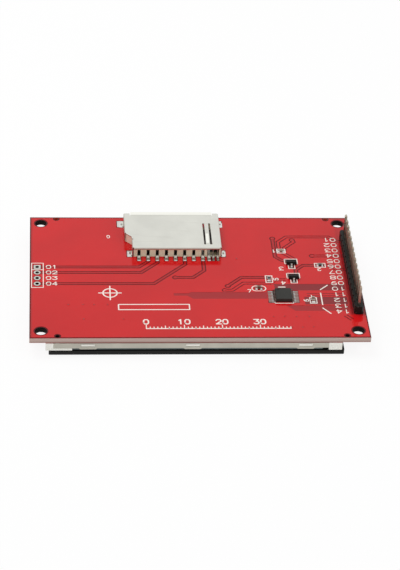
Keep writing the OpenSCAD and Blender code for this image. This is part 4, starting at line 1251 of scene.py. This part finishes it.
    def scale(self) -> None:
        """Print a plain scale in millimetres along the near edge."""
        x0, y0 = self.scale_at
        self.stroke([(x0, y0), (x0 + self.scale_length, y0)], self.ruled)
        for i in range(self.scale_length + 1):
            tick = self.ticks[(i % 5 == 0) + (i % 10 == 0)]
            self.stroke([(x0 + i, y0), (x0 + i, y0 + tick)], self.fine)
        for i in range(0, self.scale_length, 10):
            self.number(str(i), (x0 + i, y0 + self.scale_numbers_up), self.scale_digits)

    def marks(self) -> None:
        """Print a blank field, an alignment target and a small mark."""
        self.rectangle(*self.blank, self.bold)
        x, y = self.target
        self.stroke(arc((x, y), self.target_radius, 0, 360, 32), self.heavy)
        self.stroke([(x - self.target_arm, y), (x + self.target_arm, y)], self.ruled)
        self.stroke([(x, y - self.target_arm), (x, y + self.target_arm)], self.ruled)
        self.number("0", self.far_mark, self.far_mark_digits)

    def build(self, finishes: Finishes) -> bpy.types.Object:
        """Print everything as one piece.

        Args:
            finishes: The module's materials.

        Returns:
            The print.
        """
        self.header_labels()
        self.breakout_labels()
        self.part_outlines()
        self.scale()
        self.marks()
        return self.form.piece("board_print", "frame_white", finishes.by_slot["silk_ink"])


@dataclass
class Vias:
    """Small lacquered holes that join the copper layers."""

    places: tuple[Point, ...] = (
        (64.4, 9.0), (67.3, 9.2), (70.5, 9.0), (73.9, 9.1), (68.9, 4.4), (71.7, 4.4), (74.6, 4.5),
        (10.2, 14.4), (14.1, 14.4), (17.0, 14.4), (20.6, 14.4), (14.2, 8.1), (24.6, 8.1),
        (56.5, 35.3), (39.2, 26.5), (53.2, 22.6), (52.3, 20.7), (67.2, 44.8), (72.6, 44.0),
        (77.5, 36.5))
    # Radius and height of each turn of the profiles
    ring: tuple[Point, ...] = ((0.42, 0.0), (0.36, 0.016), (0.24, 0.018), (0.17, 0.006))
    pit: tuple[Point, ...] = ((0.17, 0.004), (0.13, 0.009))
    pit_finish: Finish = Finish("via_pit", (0.05, 0.006, 0.007), 0.35)

    def turned(self, profile: tuple[Point, ...]) -> Form:
        """Turn a profile round each place.

        Args:
            profile: Radius and height of each ring of points.

        Returns:
            The form with every copy.
        """
        form = Form()
        for place in self.places:
            form.loft([[(x, y, height) for x, y in arc(place, radius, 0, 345, 23)]
                       for radius, height in profile])
        return form

    def build(self, finishes: Finishes) -> list[bpy.types.Object]:
        """Build the raised rings and the dark pits in them.

        Args:
            finishes: The module's materials.

        Returns:
            The rings and the pits.
        """
        lacquer = finishes.by_slot["lacquered_copper"]
        return [self.turned(self.ring).piece("via_rings", "lacquered_copper", lacquer, True),
                self.turned(self.pit).piece("via_pits", "red_laminate",
                                            self.pit_finish.material(), True)]


@dataclass
class TabMarks:
    """Small dimples in the four tabs that hold the socket's shell, dark with painted shade."""

    places: tuple[Point, ...] = ((25.45, 51.3), (27.35, 37.5), (53.0, 37.45), (53.0, 51.35))
    height: float = 0.222
    # Half width, half length and rise of each ring of points
    rings: tuple[tuple[float, float, float], ...] = (
        (0.26, 0.42, 0.0), (0.23, 0.38, 0.012), (0.18, 0.32, 0.012), (0.15, 0.28, 0.003))
    points: int = 24
    # Dark colour of painted shade in the dimples
    finish: Finish = Finish("tab_dimple_shade", (0.30, 0.29, 0.25), 0.4, 0.6, tone=0.5,
                            tone_scale=1500.0, relief_depth=0.02)

    def build(self) -> bpy.types.Object:
        """Build a raised rim and a floor in each tab, dark with painted shade.

        Returns:
            The marks as one piece.
        """
        form = Form()
        angles = [math.tau * k / self.points for k in range(self.points)]
        for x, y in self.places:
            form.loft([[(x + half_x * math.cos(a), y + half_y * math.sin(a), self.height + rise)
                        for a in angles] for half_x, half_y, rise in self.rings])
        return form.piece("tab_marks", "shell_steel", self.finish.material(), True)


@dataclass
class SolderJoints:
    """Solder that wets the feet of the leads, the tabs and the chips' end caps."""

    form: Form = field(default_factory=Form)
    # Rings of points of a joint, and the height of the lowest one
    rings: int = 5
    ground: float = 0.012
    # Least radius of a joint's corners, and how much of the spread is added to it
    corner: float = 0.04
    corner_growth: float = 0.9
    # Length of the foot, rise and spread of the solder for each kind of lead
    contact: tuple[float, float, float] = (1.1, 0.12, 0.14)
    controller: tuple[float, float, float] = (0.55, 0.12, 0.08)
    tee: tuple[float, float, float] = (0.45, 0.12, 0.18)
    # Tabs of the shell: near sides of the far and the near pair, size of a tab, how far the
    # near left one stands in, and the rise and spread of its solder
    tabs_y: tuple[float, float] = (50.4, 36.6)
    tab: Point = (0.7, 1.8)
    tab_inset: float = 1.9
    tab_wet: Point = (0.2, 0.32)
    # End caps of the chips: the share of their height that is wetted, its limit, the spread
    cap_share: float = 0.7
    cap_limit: float = 0.5
    cap_spread: float = 0.2

    def wet(self, low: Point, high: Point, rise: float, spread: float) -> None:
        """Add a meniscus round a rectangular foot.

        Args:
            low: Low corner of the foot.
            high: High corner of the foot.
            rise: Height to which the solder climbs.
            spread: How far it runs out.
        """
        loops = []
        for k in range(self.rings + 1):
            t = k / self.rings
            grow, z = spread * (1 - t), rise * t ** 2 + self.ground
            corner = self.corner + grow * self.corner_growth
            left, right = low[0] - grow + corner, high[0] + grow - corner
            near, far = low[1] - grow + corner, high[1] + grow - corner
            loops.append([(x, y, z) for i, middle in enumerate(
                ((right, far), (left, far), (left, near), (right, near)))
                          for x, y in arc(middle, corner, 90 * i, 90 * i + 90, 4)])
        self.form.loft(loops)

    def wet_contacts(self) -> None:
        """Wet the feet of the socket's contacts, which point to the near side."""
        length, rise, spread = self.contact
        for low, high in boxes("socket_contacts"):
            self.wet((low.x, low.y), (high.x, low.y + length), rise, spread)

    def wet_tabs(self) -> None:
        """Wet the ends of the shell's four tabs."""
        left, right = ((v.x - Board.low.x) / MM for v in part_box("socket_shell"))
        far, near = self.tabs_y
        width, length = self.tab
        for x, y in ((left, far), (right - width, far), (left + self.tab_inset, near),
                     (right - width, near)):
            self.wet((x, y), (x + width, y + length), *self.tab_wet)

    def wet_caps(self) -> None:
        """Wet the end caps of the resistors and the capacitors."""
        for node in ("resistor_terminals", "capacitor_terminals"):
            for low, high in boxes(node):
                self.wet((low.x, low.y), (high.x, high.y),
                         min(high.z, self.cap_limit) * self.cap_share, self.cap_spread)

    def wet_leads(self) -> None:
        """Wet the outer ends of the leads of the touch controller and the three-lead parts."""
        length, rise, spread = self.controller
        leads = boxes("touch_controller_leads")
        middle = sum(low.x + high.x for low, high in leads) / 2 / len(leads)
        for low, high in leads:
            x = low.x if (low.x + high.x) / 2 < middle else high.x - length
            self.wet((x, low.y), (x + length, high.y), rise, spread)
        length, rise, spread = self.tee
        for node in ("regulator_leads", "transistor_leads"):
            leads = boxes(node)
            middle = sum(low.y + high.y for low, high in leads) / 2 / len(leads)
            for low, high in leads:
                y = low.y if (low.y + high.y) / 2 < middle else high.y - length
                self.wet((low.x, y), (high.x, y + length), rise, spread)

    def build(self, finishes: Finishes) -> bpy.types.Object:
        """Build the joints where the CAD has the feet.

        Args:
            finishes: The module's materials.

        Returns:
            The solder as one piece.
        """
        self.wet_contacts()
        self.wet_tabs()
        self.wet_caps()
        self.wet_leads()
        return self.form.piece("solder_joints", "solder", finishes.by_slot["solder"], True)


# ---- Studio ---------------------------------------------------------------------------------
@dataclass(frozen=True)
class Lamp:
    """A square lamp that points at the module, in metres and watts."""

    name: str
    at: tuple[float, float, float]
    size: float
    power: float

    def hang(self) -> None:
        """Add the lamp to the scene, out of sight of polished metal."""
        data = bpy.data.lights.new(self.name, "AREA")
        data.size = self.size
        data.energy = self.power
        lamp = bpy.data.objects.new(self.name, data)
        lamp.location = self.at
        lamp.rotation_euler = (-Vector(self.at)).to_track_quat("-Z", "Y").to_euler()
        lamp.visible_glossy = False
        bpy.context.scene.collection.objects.link(lamp)


@dataclass(frozen=True)
class Studio:
    """White floor, soft light and the camera, in metres and degrees."""

    place: Vector = Vector((-0.041764, -0.453517, 0.337435))
    pitch: float = 36.326
    yaw: float = -5.447
    roll: float = 3.203
    # Focal length and size of the picture, both counted in its points
    focal: float = 2080.26
    image: tuple[int, int] = (400, 570)
    # Width of the sensor in millimetres
    sensor: float = 36.0
    floor_half: float = 3.0
    floor_share: float = 0.88
    floor_colour: Colour = (0.96, 0.96, 0.96)
    # Strength of the world, as the module and as the camera see it
    sky: tuple[float, float] = (0.55, 1.0)
    lamps: tuple[Lamp, ...] = (Lamp("key", (-0.25, 0.15, 0.7), 0.5, 2.6),
                               Lamp("fill", (0.45, -0.35, 0.5), 0.6, 0.8))

    def camera(self) -> None:
        """Place the camera."""
        data = bpy.data.cameras.new("camera")
        data.sensor_width = self.sensor
        data.lens = self.focal * self.sensor / max(self.image)
        data.clip_start = 0.01
        camera = bpy.data.objects.new("camera", data)
        turn = (Matrix.Rotation(math.radians(self.yaw), 4, "Z")
                @ Matrix.Rotation(math.radians(90 - self.pitch), 4, "X")
                @ Matrix.Rotation(math.radians(self.roll), 4, "Z"))
        camera.matrix_world = Matrix.Translation(self.place) @ turn
        bpy.context.scene.collection.objects.link(camera)
        bpy.context.scene.camera = camera

    def paper(self) -> bpy.types.Material:
        """Build the floor's material.

        Returns:
            A matte white that keeps a faint shadow, and is clear from below.
        """
        made = Shader("floor")
        path = made.node("LightPath")
        seen = made.math("MAXIMUM", path.outputs["Is Camera Ray"],
                         made.math("MAXIMUM", path.outputs["Is Glossy Ray"],
                                   path.outputs["Is Transmission Ray"]))
        share = made.math("MULTIPLY", seen, self.floor_share)
        matte = made.node("BsdfDiffuse", {"Color": self.floor_colour})
        glow = made.node("Emission", {"Color": (1.0, 1.0, 1.0), "Strength": 1.0})
        lit = made.node("MixShader", {0: share, 1: matte.outputs[0], 2: glow.outputs[0]})
        clear = made.node("BsdfTransparent")
        behind = made.node("NewGeometry").outputs["Backfacing"]
        return made.output(made.node("MixShader", {0: behind, 1: lit.outputs[0],
                                                   2: clear.outputs[0]}))

    def floor(self) -> None:
        """Lay the wide floor."""
        mesh = bpy.data.meshes.new("floor")
        h = self.floor_half
        mesh.from_pydata([(-h, -h, 0), (h, -h, 0), (h, h, 0), (-h, h, 0)], [], [(0, 1, 2, 3)])
        mesh.materials.append(self.paper())
        floor = bpy.data.objects.new("floor", mesh)
        bpy.context.scene.collection.objects.link(floor)

    def light(self) -> None:
        """Light the module softly from all round, with two wide lamps above."""
        bpy.context.scene.view_settings.view_transform = "Standard"
        world = bpy.data.worlds.new("studio")
        world.use_nodes = True
        bpy.context.scene.world = world
        sky = Tree(world.node_tree)
        path = sky.node("LightPath").outputs
        seen = sky.math("MAXIMUM", path["Is Camera Ray"], path["Is Glossy Ray"])
        back = world.node_tree.nodes["Background"].inputs
        sky.fill(back["Color"], (1.0, 1.0, 1.0))
        sky.fill(back["Strength"], sky.ramp(seen, 0.0, 1.0, *self.sky))
        for lamp in self.lamps:
            lamp.hang()


def main() -> None:
    """Build the looks piece by piece."""
    logging.basicConfig(level=logging.INFO, format="%(name)s: %(message)s")
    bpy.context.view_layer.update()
    studio = Studio()
    studio.camera()
    studio.floor()
    studio.light()
    finishes = Finishes()
    finishes.dress()
    Print().build(finishes)
    Vias().build(finishes)
    TabMarks().build()
    SolderJoints().build(finishes)


if __name__ == "__main__":
    main()
